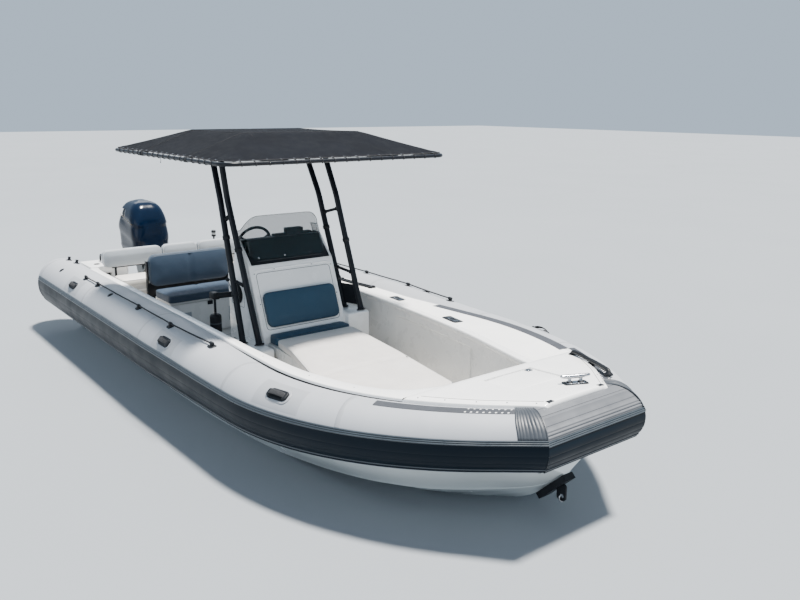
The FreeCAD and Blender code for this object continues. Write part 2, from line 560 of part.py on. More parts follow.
# lower unit: plate, strut, torpedo and skeg
gear = box(-760, -440, -130, 130, -345, -331)
gear = gear.fuse(loft([[(-460, 0, -345), (-500, 45, -345), (-640, 0, -345), (-500, -45, -345)],
                       [(-470, 0, PROP_Z + 30), (-520, 34, PROP_Z + 30), (-640, 0, PROP_Z + 30), (-520, -34, PROP_Z + 30)]]))
gear = gear.fuse(rod((PROP_X + 2, 0, PROP_Z), (-470, 0, PROP_Z), 58)).fuse(Part.makeCone(58, 12, 130, V(-470, 0, PROP_Z), V(1, 0, 0)))
gear = gear.fuse(prism([(-500, -8, PROP_Z - 40), (-700, -8, PROP_Z - 40), (-690, -8, PROP_Z - 250), (-640, -8, PROP_Z - 250)], (0, 16, 0)))
put("engine_lower_unit", set_down(gear))
# propeller: hub on the shaft line and three pitched blades
hubp = rod((PROP_X - 4, 0, PROP_Z), (PROP_X - 130, 0, PROP_Z), 52)
prop = hubp
blade = Part.makeCylinder(78, 9, V(0, 0, 0), V(1, 0, 0))
for k in range(3):
    bld = Part.makeBox(9, 120, 140, V(-4.5, -60, 0))
    bld = bld.makeFillet(48, [e for e in bld.Edges if along(e, "x") and min(v.Z for v in e.Vertexes) > 100])
    bld.rotate(V(0, 0, 0), V(0, 0, 1), 28)
    bld.translate(V(PROP_X - 67, 0, PROP_Z + 45))
    bld.rotate(V(0, 0, PROP_Z), V(1, 0, 0), 120 * k)
    prop = prop.fuse(bld)
put("propeller", set_down(prop))

# ---------------------------------------------------------------- deck gear
# bow cleat, turned a little on the deck
CLEAT_X, CLEAT_Y = 6440.0, 150.0
cl = at(CAP, CLEAT_X, 1) + 17
cleat = rod((CLEAT_X - 38, CLEAT_Y, cl), (CLEAT_X - 38, CLEAT_Y, cl + 40), 12).fuse(rod((CLEAT_X + 38, CLEAT_Y, cl), (CLEAT_X + 38, CLEAT_Y, cl + 40), 12))
cleat = cleat.fuse(rod((CLEAT_X - 112, CLEAT_Y, cl + 46), (CLEAT_X + 112, CLEAT_Y, cl + 46), 13)).fuse(slab(CLEAT_X - 62, CLEAT_X + 62, CLEAT_Y - 30, CLEAT_Y + 30, cl, cl + 8, 12))
put("bow_cleat", turned(turned(cleat, (CLEAT_X, CLEAT_Y, cl), (0, 0, 1), 62), (CLEAT_X, CLEAT_Y, cl), (0, 1, 0), -4.3))
print("cleat %.1f %.1f %.1f" % (CLEAT_X, CLEAT_Y, cl))

# tow eye on the stem: dark bracket block with a drilled ear
eye_x, eye_z = 6462.0, 212.0
bracket = prism([(eye_x - 128, -48, eye_z - 78), (eye_x - 96, -48, eye_z - 108), (eye_x + 112, -48, eye_z + 98), (eye_x + 80, -48, eye_z + 128)], (0, 96, 0))
ear = slab(eye_x + 10, eye_x + 84, -6, 6, eye_z - 70, eye_z + 46, 22, "y")
hole_x, hole_z = eye_x + 52, eye_z - 38
eyes = [bracket.fuse(ear).cut(rod((hole_x, -60, hole_z), (hole_x, 60, hole_z), 16)).cut(hull)]
eyes = [sorted(eyes[0].Solids, key=lambda k: -k.Volume)[0]]
print("tow eye hole %.1f %.1f" % (hole_x, hole_z))
# stern eyes on the transom
for s in (1, -1):
    y = s * 500
    e = box(-8, -1, y - 32, y + 32, 300, 372).fuse(slab(-62, -4, y - 26, y + 26, 330, 342, 20))
    eyes.append(e.cut(rod((-36, y, 300), (-36, y, 372), 13)))
put("towing_eyes", *eyes)

# handles on the tubes: dark pads with a loop.  columns: x, degrees over the horizontal
HANDLES = [(990, 44), (3470, 42), (5120, 53)]
def handle(x, deg, side):
    c, out, up = station(x)
    r = radius(x)
    s = box(-98, 98, -46, 46, 6, 18)
    s = rounded(s, 30, lambda e: along(e, "z"))
    s = s.fuse(bent([(-62, 0, 16), (-62, 0, 46), (62, 0, 46), (62, 0, 16)], 10, 18))
    m = FreeCAD.Matrix()
    a = math.radians(deg)
    n = out * math.cos(a) + up * math.sin(a)
    t = out.cross(up)
    t = t * (-1.0 if t.x < 0 else 1.0)
    w = n.cross(t)
    m.A11, m.A21, m.A31 = t.x, t.y, t.z
    m.A12, m.A22, m.A32 = w.x, w.y, w.z
    m.A13, m.A23, m.A33 = n.x, n.y, n.z
    o = c + n * (r + 2)
    m.A14, m.A24, m.A34 = o.x, o.y, o.z
    s = s.transformGeometry(m)
    return s if side > 0 else mirror(s)
put("tube_handles", *[handle(x, d, s) for x, d in HANDLES for s in (1, -1)])

# grab lines on top of the tubes, with dark anchors
def on_tube(x, y_off, lift):
    y, z = centre(x)
    return (x, y + y_off, z + math.sqrt(radius(x) ** 2 - y_off ** 2) + lift)
# columns: station x, outboard offset from the tube centreline
LINE = [(1070, 88), (1460, 88), (2600, 86), (3330, 86), (4030, 42)]
lines = []
for s in (1, -1):
    pts = [on_tube(x, o, 34) for x, o in LINE]
    l = None
    for a, b in zip(pts, pts[1:]):
        seg = rod((a[0], s * a[1], a[2]), (b[0], s * b[1], b[2]), 8)
        l = seg if l is None else l.fuse(seg)
    for x, y, z in pts:
        l = l.fuse(slab(x - 34, x + 34, s * y - 24, s * y + 24, z - 18, z + 12, 14))
    lines.append(l)
put("grab_lines", *lines)

# dark bar along the port edge of the foredeck
def on_lip(x, dz):
    return (x, centre(x)[0] - at(CAP, x, 2) + 34, at(CAP, x, 1) + dz)
a, b = on_lip(5900, 12), on_lip(6420, 12)
up = lambda p, d: (p[0], p[1], p[2] + d)
put("bow_grab_rail", bent([a, up(a, 38), up(b, 38), b], 13, 26))
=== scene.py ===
import bpy, bmesh, math
from mathutils import Vector, Matrix


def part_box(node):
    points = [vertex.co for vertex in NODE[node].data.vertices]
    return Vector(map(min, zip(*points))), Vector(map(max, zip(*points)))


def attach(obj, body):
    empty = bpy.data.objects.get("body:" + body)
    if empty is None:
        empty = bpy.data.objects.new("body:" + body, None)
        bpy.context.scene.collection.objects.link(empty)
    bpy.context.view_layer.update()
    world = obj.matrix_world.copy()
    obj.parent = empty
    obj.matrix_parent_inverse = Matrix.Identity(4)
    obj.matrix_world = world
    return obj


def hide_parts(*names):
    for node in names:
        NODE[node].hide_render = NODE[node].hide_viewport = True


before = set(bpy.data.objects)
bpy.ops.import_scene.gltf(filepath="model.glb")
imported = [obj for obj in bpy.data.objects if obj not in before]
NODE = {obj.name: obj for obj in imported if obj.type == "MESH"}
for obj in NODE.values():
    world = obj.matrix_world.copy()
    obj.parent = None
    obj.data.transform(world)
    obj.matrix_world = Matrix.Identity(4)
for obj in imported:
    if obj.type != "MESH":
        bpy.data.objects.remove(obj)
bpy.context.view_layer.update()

# =====================================================================  shape of the hull and tubes, metres
TUBE_R, BOW_R = 0.278, 0.189
TAPER_X0, TAPER_X1 = 3.150, 6.510
TUBE_Y, TUBE_Z = 1.182, 0.530
SHEER_X, SHEER_K = 4.200, 0.0257
TURN_X, TURN_R, TURN_A = 4.626, 2.684, math.radians(40.4)
MITRE_X, MITRE_Y = 6.575, 0.363
STERN_X, CONE_X = -0.150, -0.405
SOLE_Z = 0.140
TURN_X1 = TURN_X + TURN_R * math.sin(TURN_A)
TURN_Y1 = TUBE_Y - TURN_R * (1 - math.cos(TURN_A))


def radius(x):
    f = min(1.0, max(0.0, (x - TAPER_X0) / (TAPER_X1 - TAPER_X0)))
    return TUBE_R + f * (BOW_R - TUBE_R)


def centre(x):
    z = TUBE_Z + SHEER_K * max(0.0, x - SHEER_X) ** 2
    if x <= TURN_X:
        y = TUBE_Y
    elif x <= TURN_X1:
        y = TUBE_Y - (TURN_R - math.sqrt(TURN_R ** 2 - (x - TURN_X) ** 2))
    else:
        y = TURN_Y1 - (x - TURN_X1) * (TURN_Y1 - MITRE_Y) / (MITRE_X - TURN_X1)
    return y, z


def station(x):
    """Centre of the port tube, the way it runs, outboard and up."""
    y, z = centre(x)
    (ya, za), (yb, zb) = centre(x - 0.002), centre(x + 0.002)
    t = Vector((0.004, yb - ya, zb - za)).normalized()
    out = Vector((-t.y, t.x, 0)).normalized()
    return Vector((x, y, z)), t, out, t.cross(out)


_n = Vector((math.cos(TURN_A), -math.sin(TURN_A) - 1.0, 0)).normalized()
CORNER = Vector((MITRE_X, MITRE_Y, centre(MITRE_X)[1]))


def to_mitre(p, t):
    """p slid along t on to the mitre plane."""
    return p + t * ((CORNER - p).dot(_n) / t.dot(_n))


def on_tube(x, deg, lift=0.0):
    c, t, out, up = station(x)
    a = math.radians(deg)
    return c + (out * math.cos(a) + up * math.sin(a)) * (radius(x) + lift)


def ramp(table, x, col=1):
    """Straight-line value of a table at x."""
    if x <= table[0][0]:
        return table[0][col]
    for a, b in zip(table, table[1:]):
        if x <= b[0]:
            return a[col] + (x - a[0]) / (b[0] - a[0]) * (b[col] - a[col])
    return table[-1][col]


def soft_ramp(table, x, col=1, w=0.16):
    """The same, with its corners eased."""
    return sum(ramp(table, x + w * k, col) for k in (-1, -0.5, 0, 0.5, 1)) / 5.0


# columns: station x, half breadth of the cockpit
WALL = [(0.062, 0.918), (0.440, 0.918), (0.600, 0.836), (3.300, 0.832), (3.600, 0.800), (4.300, 0.710), (4.950, 0.607), (5.450, 0.472), (5.876, 0.336)]
# the starboard wall stands further out, under a narrow side deck.  columns: station x, half breadth at the sole, at the deck
WALL_S = [(0.062, 0.885, 0.918), (0.440, 0.885, 0.955), (0.600, 0.885, 0.978), (3.600, 0.885, 0.978), (4.300, 0.890, 1.000), (4.950, 0.845, 0.985), (5.450, 0.700, 0.880), (5.700, 0.530, 0.760),
          (5.820, 0.420, 0.600), (5.876, 0.336, 0.336)]
# columns: station x, height of the side deck, its lip inboard of the tube centreline
CAP = [(0.430, 0.767, 0.143), (3.600, 0.767, 0.143), (4.300, 0.782, 0.112), (4.950, 0.793, 0.084), (5.450, 0.806, 0.070), (5.880, 0.828, 0.060), (6.300, 0.858, 0.055), (6.590, 0.880, 0.078)]
# columns: station x, keel z, chine half breadth, chine z
HULL = [(0, -0.470, 1.030, -0.060), (3.150, -0.465, 1.020, -0.040), (4.200, -0.440, 0.965, -0.005), (4.900, -0.385, 0.880, 0.045), (5.400, -0.290, 0.795, 0.105),
        (5.720, -0.195, 0.690, 0.148), (5.900, -0.120, 0.560, 0.155), (6.100, -0.010, 0.340, 0.165), (6.250, 0.072, 0.130, 0.172), (6.400, 0.195, 0.040, 0.232),
        (6.540, 0.330, 0.030, 0.352)]

# =====================================================================  materials


def new_mat(name):
    m = bpy.data.materials.new(name)
    m.use_nodes = True
    return m, m.node_tree.nodes, m.node_tree.links, m.node_tree.nodes["Principled BSDF"]


def finish_mat(name, base, rough=0.5, metal=0.0, kind="plain", scale=400.0, bump=0.15, var=0.06, blotch=3.0, coat=0.0, sheen=0.0, alpha=1.0, spec=0.5, rough_var=0.08, depth=0.001):
    """Procedural finish in the object's own metres: broad tone changes, fine relief and uneven gloss."""
    m, nodes, links, p = new_mat(name)
    tc = nodes.new("ShaderNodeTexCoord")
    big = nodes.new("ShaderNodeTexNoise")
    big.inputs["Scale"].default_value = blotch
    big.inputs["Detail"].default_value = 6.0
    links.new(tc.outputs["Object"], big.inputs["Vector"])
    cr = nodes.new("ShaderNodeValToRGB")
    cr.color_ramp.elements[0].position = 0.30
    cr.color_ramp.elements[1].position = 0.72
    lo = [max(0.0, c * (1 - var)) for c in base]
    hi = [min(1.0, c * (1 + var)) for c in base]
    cr.color_ramp.elements[0].color = (*lo, 1)
    cr.color_ramp.elements[1].color = (*hi, 1)
    links.new(big.outputs["Fac"], cr.inputs["Fac"])
    colour = cr.outputs["Color"]
    height = None
    if kind in ("plain", "gel"):
        t = nodes.new("ShaderNodeTexNoise")
        t.inputs["Scale"].default_value = scale
        t.inputs["Detail"].default_value = 4.0
        links.new(tc.outputs["Object"], t.inputs["Vector"])
        height = t.outputs["Fac"]
    elif kind == "grain":
        t = nodes.new("ShaderNodeTexVoronoi")
        t.inputs["Scale"].default_value = scale
        links.new(tc.outputs["Object"], t.inputs["Vector"])
        height = t.outputs["Distance"]
    elif kind == "weave":
        # two crossed sets of threads, laid over any of the three faces
        sep = nodes.new("ShaderNodeSeparateXYZ")
        links.new(tc.outputs["Object"], sep.inputs[0])

        def wave(a, b):
            add = nodes.new("ShaderNodeMath"); add.operation = "ADD"
            links.new(sep.outputs[a], add.inputs[0]); links.new(sep.outputs[b], add.inputs[1])
            mul = nodes.new("ShaderNodeMath"); mul.operation = "MULTIPLY"; mul.inputs[1].default_value = scale
            links.new(add.outputs[0], mul.inputs[0])
            sn = nodes.new("ShaderNodeMath"); sn.operation = "SINE"
            links.new(mul.outputs[0], sn.inputs[0])
            return sn.outputs[0]
        w1 = wave(0, 2)
        w2 = wave(1, 2)
        mx = nodes.new("ShaderNodeMath"); mx.operation = "MAXIMUM"
        links.new(w1, mx.inputs[0]); links.new(w2, mx.inputs[1])
        height = mx.outputs[0]
    elif kind == "nonslip":
        t = nodes.new("ShaderNodeTexVoronoi")
        t.inputs["Scale"].default_value = scale
        t.feature = "SMOOTH_F1"
        links.new(tc.outputs["Object"], t.inputs["Vector"])
        height = t.outputs["Distance"]
    elif kind == "brushed":
        mp = nodes.new("ShaderNodeMapping")
        mp.inputs["Scale"].default_value = (8, 8, 400)
        links.new(tc.outputs["Object"], mp.inputs["Vector"])
        t = nodes.new("ShaderNodeTexNoise")
        t.inputs["Scale"].default_value = 6.0
        links.new(mp.outputs["Vector"], t.inputs["Vector"])
        height = t.outputs["Fac"]
    b = nodes.new("ShaderNodeBump")
    b.inputs["Strength"].default_value = bump
    b.inputs["Distance"].default_value = depth
    links.new(height, b.inputs["Height"])
    links.new(b.outputs["Normal"], p.inputs["Normal"])
    links.new(colour, p.inputs["Base Color"])
    rn = nodes.new("ShaderNodeTexNoise")
    rn.inputs["Scale"].default_value = blotch * 4
    rn.inputs["Detail"].default_value = 5.0
    links.new(tc.outputs["Object"], rn.inputs["Vector"])
    mr = nodes.new("ShaderNodeMapRange")
    mr.inputs["From Min"].default_value = 0.3
    mr.inputs["From Max"].default_value = 0.7
    mr.inputs["To Min"].default_value = max(0.02, rough - rough_var)
    mr.inputs["To Max"].default_value = min(1.0, rough + rough_var)
    links.new(rn.outputs["Fac"], mr.inputs["Value"])
    links.new(mr.outputs["Result"], p.inputs["Roughness"])
    p.inputs["Metallic"].default_value = metal
    p.inputs["Coat Weight"].default_value = coat
    p.inputs["Coat Roughness"].default_value = 0.06
    p.inputs["Sheen Weight"].default_value = sheen
    p.inputs["Specular IOR Level"].default_value = spec
    if alpha < 1:
        p.inputs["Alpha"].default_value = alpha
    m.diffuse_color = (*base, 1)
    return m


M = {
    "tube": finish_mat("tube fabric", (0.355, 0.37, 0.395), 0.50, kind="weave", scale=5200, bump=0.10, depth=0.0004, var=0.035, blotch=1.6),
    "tube_seam": finish_mat("tube seam tape", (0.295, 0.308, 0.328), 0.46, kind="weave", scale=5200, bump=0.10, depth=0.0004, var=0.04, blotch=5),
    "navy": finish_mat("navy band rubber", (0.0008, 0.0052, 0.0105), 0.42, kind="plain", scale=260, bump=0.06, depth=0.0003, var=0.18, blotch=1.2, spec=0.13),
    "band_grey": finish_mat("band strake rubber", (0.030, 0.040, 0.050), 0.34, kind="plain", scale=700, bump=0.12, depth=0.0005, var=0.15, blotch=4),
    "patch": finish_mat("bow patch rubber", (0.115, 0.120, 0.130), 0.36, kind="plain", scale=300, bump=0.08, depth=0.0004, var=0.10, blotch=4),
    "pleat": finish_mat("pleated patch rubber", (0.040, 0.046, 0.055), 0.44, kind="plain", scale=500, bump=0.12, depth=0.0005, var=0.15, blotch=6),
    "strip": finish_mat("nonslip strip", (0.034, 0.038, 0.047), 0.62, kind="nonslip", scale=420, bump=0.6, depth=0.001, var=0.15, blotch=8),
    "mark": finish_mat("white mark", (0.72, 0.73, 0.73), 0.55, scale=500, var=0.05),
    "gel": finish_mat("white gelcoat", (0.91, 0.91, 0.90), 0.24, kind="gel", scale=22, bump=0.05, depth=0.002, var=0.018, blotch=1.4, coat=0.35),
    # the same white gelcoat as the decks, darkened as painted shade for the cockpit walls, wells and seat bases
    "gel_in": finish_mat("white gelcoat darkened as painted shade", (0.66, 0.655, 0.64), 0.30, kind="gel", scale=22, bump=0.05, depth=0.002, var=0.03, blotch=2.2, coat=0.2),
    "hull": finish_mat("hull gelcoat", (0.70, 0.74, 0.73), 0.20, kind="gel", scale=16, bump=0.04, depth=0.003, var=0.02, blotch=1.2, coat=0.4),
    "deck_grip": finish_mat("moulded deck grip", (0.86, 0.857, 0.84), 0.55, kind="nonslip", scale=330, bump=0.45, depth=0.0012, var=0.03, blotch=3),
    "sole": finish_mat("cockpit sole", (0.56, 0.55, 0.52), 0.58, kind="nonslip", scale=260, bump=0.5, depth=0.0015, var=0.06, blotch=2.5),
    "vinyl_grey": finish_mat("pad vinyl", (0.60, 0.575, 0.55), 0.50, kind="grain", scale=700, bump=0.30, depth=0.0006, var=0.04, blotch=4, sheen=0.08),
    # light grey backrest vinyl, darkened and blued as painted canopy shade
    "vinyl_back_painted_shade": finish_mat("backrest vinyl darkened as painted shade", (0.30, 0.33, 0.36), 0.52, kind="grain", scale=700, bump=0.30, depth=0.0006, var=0.05, blotch=5, sheen=0.08),
    "vinyl_cream": finish_mat("bench vinyl", (0.68, 0.655, 0.61), 0.48, kind="grain", scale=700, bump=0.30, depth=0.0006, var=0.04, blotch=5, sheen=0.08),
    "vinyl_teal": finish_mat("teal vinyl", (0.0045, 0.042, 0.082), 0.50, kind="grain", scale=700, bump=0.35, depth=0.0006, var=0.08, blotch=5, sheen=0.10),
    "vinyl_slate": finish_mat("slate vinyl", (0.018, 0.038, 0.068), 0.58, kind="grain", scale=700, bump=0.35, depth=0.0006, var=0.08, blotch=5, sheen=0.10),
    "piping": finish_mat("dark piping", (0.03, 0.045, 0.06), 0.5, scale=900, var=0.1),
    "piping_light": finish_mat("light piping", (0.52, 0.53, 0.53), 0.5, scale=900, var=0.05),
    "canvas": finish_mat("black canvas", (0.0046, 0.0054, 0.0078), 0.90, kind="weave", scale=3400, bump=0.45, depth=0.0006, var=0.22, blotch=3, sheen=0.015, spec=0.08),
    "canvas_tape": finish_mat("canvas binding", (0.012, 0.012, 0.014), 0.80, kind="weave", scale=2600, bump=0.5, depth=0.0007, var=0.2, blotch=12),
    "black": finish_mat("black powder coat", (0.0060, 0.0075, 0.0110), 0.36, kind="plain", scale=1400, bump=0.12, depth=0.0003, var=0.2, blotch=6, spec=0.22),
    "plastic": finish_mat("black plastic", (0.0090, 0.0105, 0.0130), 0.50, kind="grain", scale=1100, bump=0.20, depth=0.0004, var=0.2, blotch=9, spec=0.22),
    "display": finish_mat("display face", (0.006, 0.010, 0.018), 0.10, scale=300, bump=0.02, var=0.2, blotch=9, coat=0.6),
    "rope": finish_mat("braided rope", (0.020, 0.021, 0.024), 0.85, kind="weave", scale=1500, bump=0.8, depth=0.001, var=0.25, blotch=30),
    "lace": finish_mat("lacing cord", (0.030, 0.030, 0.033), 0.8, kind="weave", scale=2200, bump=0.7, depth=0.0006, var=0.25, blotch=30),
    "steel": finish_mat("polished stainless", (0.36, 0.37, 0.39), 0.18, metal=1.0, kind="brushed", bump=0.06, depth=0.0003, var=0.04, blotch=12, rough_var=0.05),
    "engine": finish_mat("engine lacquer", (0.0010, 0.0058, 0.0175), 0.17, scale=1500, bump=0.03, depth=0.0002, var=0.25, blotch=2.5, coat=0.04, rough_var=0.04, spec=0.22),
    "engine_dark": finish_mat("engine apron", (0.0030, 0.0105, 0.0100), 0.34, scale=900, bump=0.10, depth=0.0004, var=0.2, blotch=5),
    "trim_line": finish_mat("cowl trim", (0.20, 0.13, 0.05), 0.28, metal=0.7, scale=800, bump=0.05, var=0.15, blotch=20),
    "prop": finish_mat("propeller steel", (0.42, 0.43, 0.45), 0.22, metal=1.0, kind="brushed", bump=0.1, depth=0.0003, var=0.06, blotch=12),
    "lamp": finish_mat("lamp lens", (0.42, 0.42, 0.40), 0.12, scale=300, bump=0.05, var=0.03, blotch=20, coat=0.5),
    "caulk": finish_mat("dark gasket", (0.03, 0.032, 0.035), 0.6, scale=900, var=0.15, blotch=20),
    "shadow_gap": finish_mat("painted shade in recesses", (0.022, 0.026, 0.032), 0.6, scale=300, var=0.2, blotch=9),
}


def glass_mat():
    m, nodes, links, p = new_mat("tinted screen")
    tc = nodes.new("ShaderNodeTexCoord")
    n = nodes.new("ShaderNodeTexNoise")
    n.inputs["Scale"].default_value = 2.2
    links.new(tc.outputs["Object"], n.inputs["Vector"])
    cr = nodes.new("ShaderNodeValToRGB")
    cr.color_ramp.elements[0].color = (0.003, 0.013, 0.016, 1)
    cr.color_ramp.elements[1].color = (0.005, 0.020, 0.024, 1)
    links.new(n.outputs["Fac"], cr.inputs["Fac"])
    links.new(cr.outputs["Color"], p.inputs["Base Color"])
    b = nodes.new("ShaderNodeBump")
    b.inputs["Strength"].default_value = 0.02
    links.new(n.outputs["Fac"], b.inputs["Height"])
    links.new(b.outputs["Normal"], p.inputs["Normal"])
    p.inputs["Roughness"].default_value = 0.03
    p.inputs["Alpha"].default_value = 0.36
    p.inputs["IOR"].default_value = 1.49
    return m


M["glass"] = glass_mat()

# =====================================================================  mesh helpers
SLOT = {"tube": "tube_fabric", "tube_seam": "tube_fabric", "navy": "band_navy", "gel": "gelcoat"}


def obj_from(name, verts, faces, mats, body="boat", nodes=(), slot=None, smooth=True, index=None, angle=None):
    me = bpy.data.meshes.new(name)
    me.from_pydata([tuple(v) for v in verts], [], faces)
    if not isinstance(mats, (list, tuple)):
        mats = [mats]
    for m in mats:
        me.materials.append(M[m] if isinstance(m, str) else m)
    if index is not None:
        for p, i in zip(me.polygons, index):
            p.material_index = i
    me.validate()
    bm = bmesh.new()
    bm.from_mesh(me)
    bmesh.ops.remove_doubles(bm, verts=bm.verts, dist=1e-6)
    bmesh.ops.recalc_face_normals(bm, faces=bm.faces)
    for f in bm.faces:
        f.smooth = smooth
    if angle is not None:
        lim = math.radians(angle)
        for e in bm.edges:
            if len(e.link_faces) == 2 and e.calc_face_angle(0) > lim:
                e.smooth = False
    bm.to_mesh(me)
    bm.free()
    o = bpy.data.objects.new(name, me)
    bpy.context.scene.collection.objects.link(o)
    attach(o, body)
    if nodes:
        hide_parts(*nodes)
    return o


class Build:
    """Collects pieces of mesh with a material for each face."""

    def __init__(self):
        self.v, self.f, self.i = [], [], []

    def add(self, verts, faces, mat=0):
        k = len(self.v)
        self.v += [Vector(p) for p in verts]
        self.f += [tuple(a + k for a in f) for f in faces]
        self.i += [mat if isinstance(mat, int) else mat[j] for j in range(len(faces))] if not isinstance(mat, list) else mat
        return k

    def grid(self, rows, mat=0, close_v=False, close_u=False, mats=None):
        n, w = len(rows), len(rows[0])
        verts = [p for r in rows for p in r]
        faces, idx = [], []
        for a in range(n if close_u else n - 1):
            b = (a + 1) % n
            for j in range(w if close_v else w - 1):
                k = (j + 1) % w
                faces.append((a * w + j, a * w + k, b * w + k, b * w + j))
                idx.append(mats[j] if mats else mat)
        self.add(verts, faces, idx)

    def fan(self, ring, mat=0):
        self.add(ring, [tuple(range(len(ring)))], mat)

    def tube(self, path, r, seg=10, mat=0, closed=False, caps=True):
        """Round bar along points."""
        pts = [Vector(p) for p in path]
        n = len(pts)
        rows, prev = [], None
        for k, p in enumerate(pts):
            a = pts[(k - 1) % n] if closed or k else pts[k]
            b = pts[(k + 1) % n] if closed or k < n - 1 else pts[k]
            t = (b - a).normalized()
            if prev is None:
                ref = Vector((0, 0, 1)) if abs(t.z) < 0.9 else Vector((1, 0, 0))
                u = t.cross(ref).normalized()
            else:
                u = (prev - t * prev.dot(t)).normalized()
            prev = u
            w = t.cross(u)
            rr = r(k / max(1, n - 1)) if callable(r) else r
            rows.append([p + u * (rr * math.cos(2 * math.pi * j / seg)) + w * (rr * math.sin(2 * math.pi * j / seg)) for j in range(seg)])
        self.grid(rows, mat, close_v=True, close_u=closed)
        if caps and not closed:
            self.fan(rows[0], mat)
            self.fan(rows[-1], mat)

    def box(self, lo, hi, r=0.006, mat=0, seg=3, m=None):
        """Box with rounded edges."""
        bm = bmesh.new()
        bmesh.ops.create_cube(bm, size=1.0)
        for v in bm.verts:
            v.co = Vector(tuple(lo[k] + (v.co[k] + 0.5) * (hi[k] - lo[k]) for k in range(3)))
        r = min(r, min(hi[k] - lo[k] for k in range(3)) * 0.49)
        if r > 0:
            bmesh.ops.bevel(bm, geom=bm.edges[:] + bm.verts[:], offset=r, segments=seg, profile=0.5, affect="EDGES")
        self.from_bm(bm, mat, m)

    def prism(self, prof, y0, y1, r=0.0, mat=0, seg=3, axis="y", m=None, only=None):
        """Profile in the xz plane carried from y0 to y1, edges rounded."""
        bm = bmesh.new()
        place = {"y": lambda a, b, c: (a, c, b), "z": lambda a, b, c: (a, b, c), "x": lambda a, b, c: (c, a, b)}[axis]
        va = [bm.verts.new(place(a, b, y0)) for a, b in prof]
        vb = [bm.verts.new(place(a, b, y1)) for a, b in prof]
        bm.faces.new(va)
        bm.faces.new(list(reversed(vb)))
        n = len(prof)
        for k in range(n):
            bm.faces.new((va[(k + 1) % n], va[k], vb[k], vb[(k + 1) % n]))
        bmesh.ops.recalc_face_normals(bm, faces=bm.faces)
        if r > 0:
            edges = [e for e in bm.edges if only is None or only(e)]
            bmesh.ops.bevel(bm, geom=edges, offset=r, segments=seg, profile=0.5, affect="EDGES", clamp_overlap=True)
        self.from_bm(bm, mat, m)

    def from_bm(self, bm, mat=0, m=None):
        bm.verts.index_update()
        vs = [(m @ v.co) if m is not None else v.co.copy() for v in bm.verts]
        self.add(vs, [tuple(v.index for v in f.verts) for f in bm.faces], mat)
        bm.free()

    def lathe(self, prof, origin, axis, seg=32, mat=0):
        """Profile (distance along axis, radius) turned about the axis."""
        a = Vector(axis).normalized()
        ref = Vector((0, 0, 1)) if abs(a.z) < 0.9 else Vector((1, 0, 0))
        u = a.cross(ref).normalized()
        w = a.cross(u)
        o = Vector(origin)
        rows = [[o + a * d + (u * math.cos(2 * math.pi * j / seg) + w * math.sin(2 * math.pi * j / seg)) * r for j in range(seg)] for d, r in prof]
        self.grid(rows, mat, close_v=True)
        if prof[0][1] > 1e-4:
            self.fan(rows[0], mat)
        if prof[-1][1] > 1e-4:
            self.fan(rows[-1], mat)

    def mirror(self):
        b = Build()
        b.v = [Vector((p.x, -p.y, p.z)) for p in self.v]
        b.f = [tuple(reversed(f)) for f in self.f]
        b.i = list(self.i)
        return b

    def join(self, other):
        k = len(self.v)
        self.v += other.v
        self.f += [tuple(a + k for a in f) for f in other.f]
        self.i += other.i

    def out(self, name, mats, **kw):
        return obj_from(name, self.v, self.f, mats, index=self.i, **kw)


def lin(a, b, n):
    return [a + (b - a) * k / (n - 1) for k in range(n)]


def arc_pts(cx, cy, r, a0, a1, n):
    return [(cx + r * math.cos(math.radians(a)), cy + r * math.sin(math.radians(a))) for a in lin(a0, a1, n)]


def smooth(a, b, x):
    t = min(1.0, max(0.0, (x - a) / (b - a)))
    return t * t * (3 - 2 * t)


# =====================================================================  inflated tubes
XS = lin(STERN_X, 3.15, 16) + lin(3.35, 6.44, 46)


def side_rows(points, xs=XS, mitre=True, x_end=None):
    """Rows of an open or closed profile carried along the port tube. points(x) gives (deg, stand-off)."""
    rows = []
    for x in xs:
        rows.append([on_tube(x, d, dr) for d, dr in points(x)])
    if mitre:
        c, t, out, up = station(6.50)
        last = [on_tube(6.50, d, dr) for d, dr in points(6.50)]
        rows.append([to_mitre(p, t) for p in last])
    return rows


def bow_rows(points, ys=9):
    r = []
    for k in range(ys):
        f = k / (ys - 1)
        row = []
        for d, dr in points:
            a = math.radians(d)
            rr = BOW_R + dr
            y = MITRE_Y + 0.4621 * rr * math.cos(a)
            row.append(Vector((MITRE_X + rr * math.cos(a), y - 2 * y * f, CORNER.z + rr * math.sin(a))))
        r.append(row)
    return r


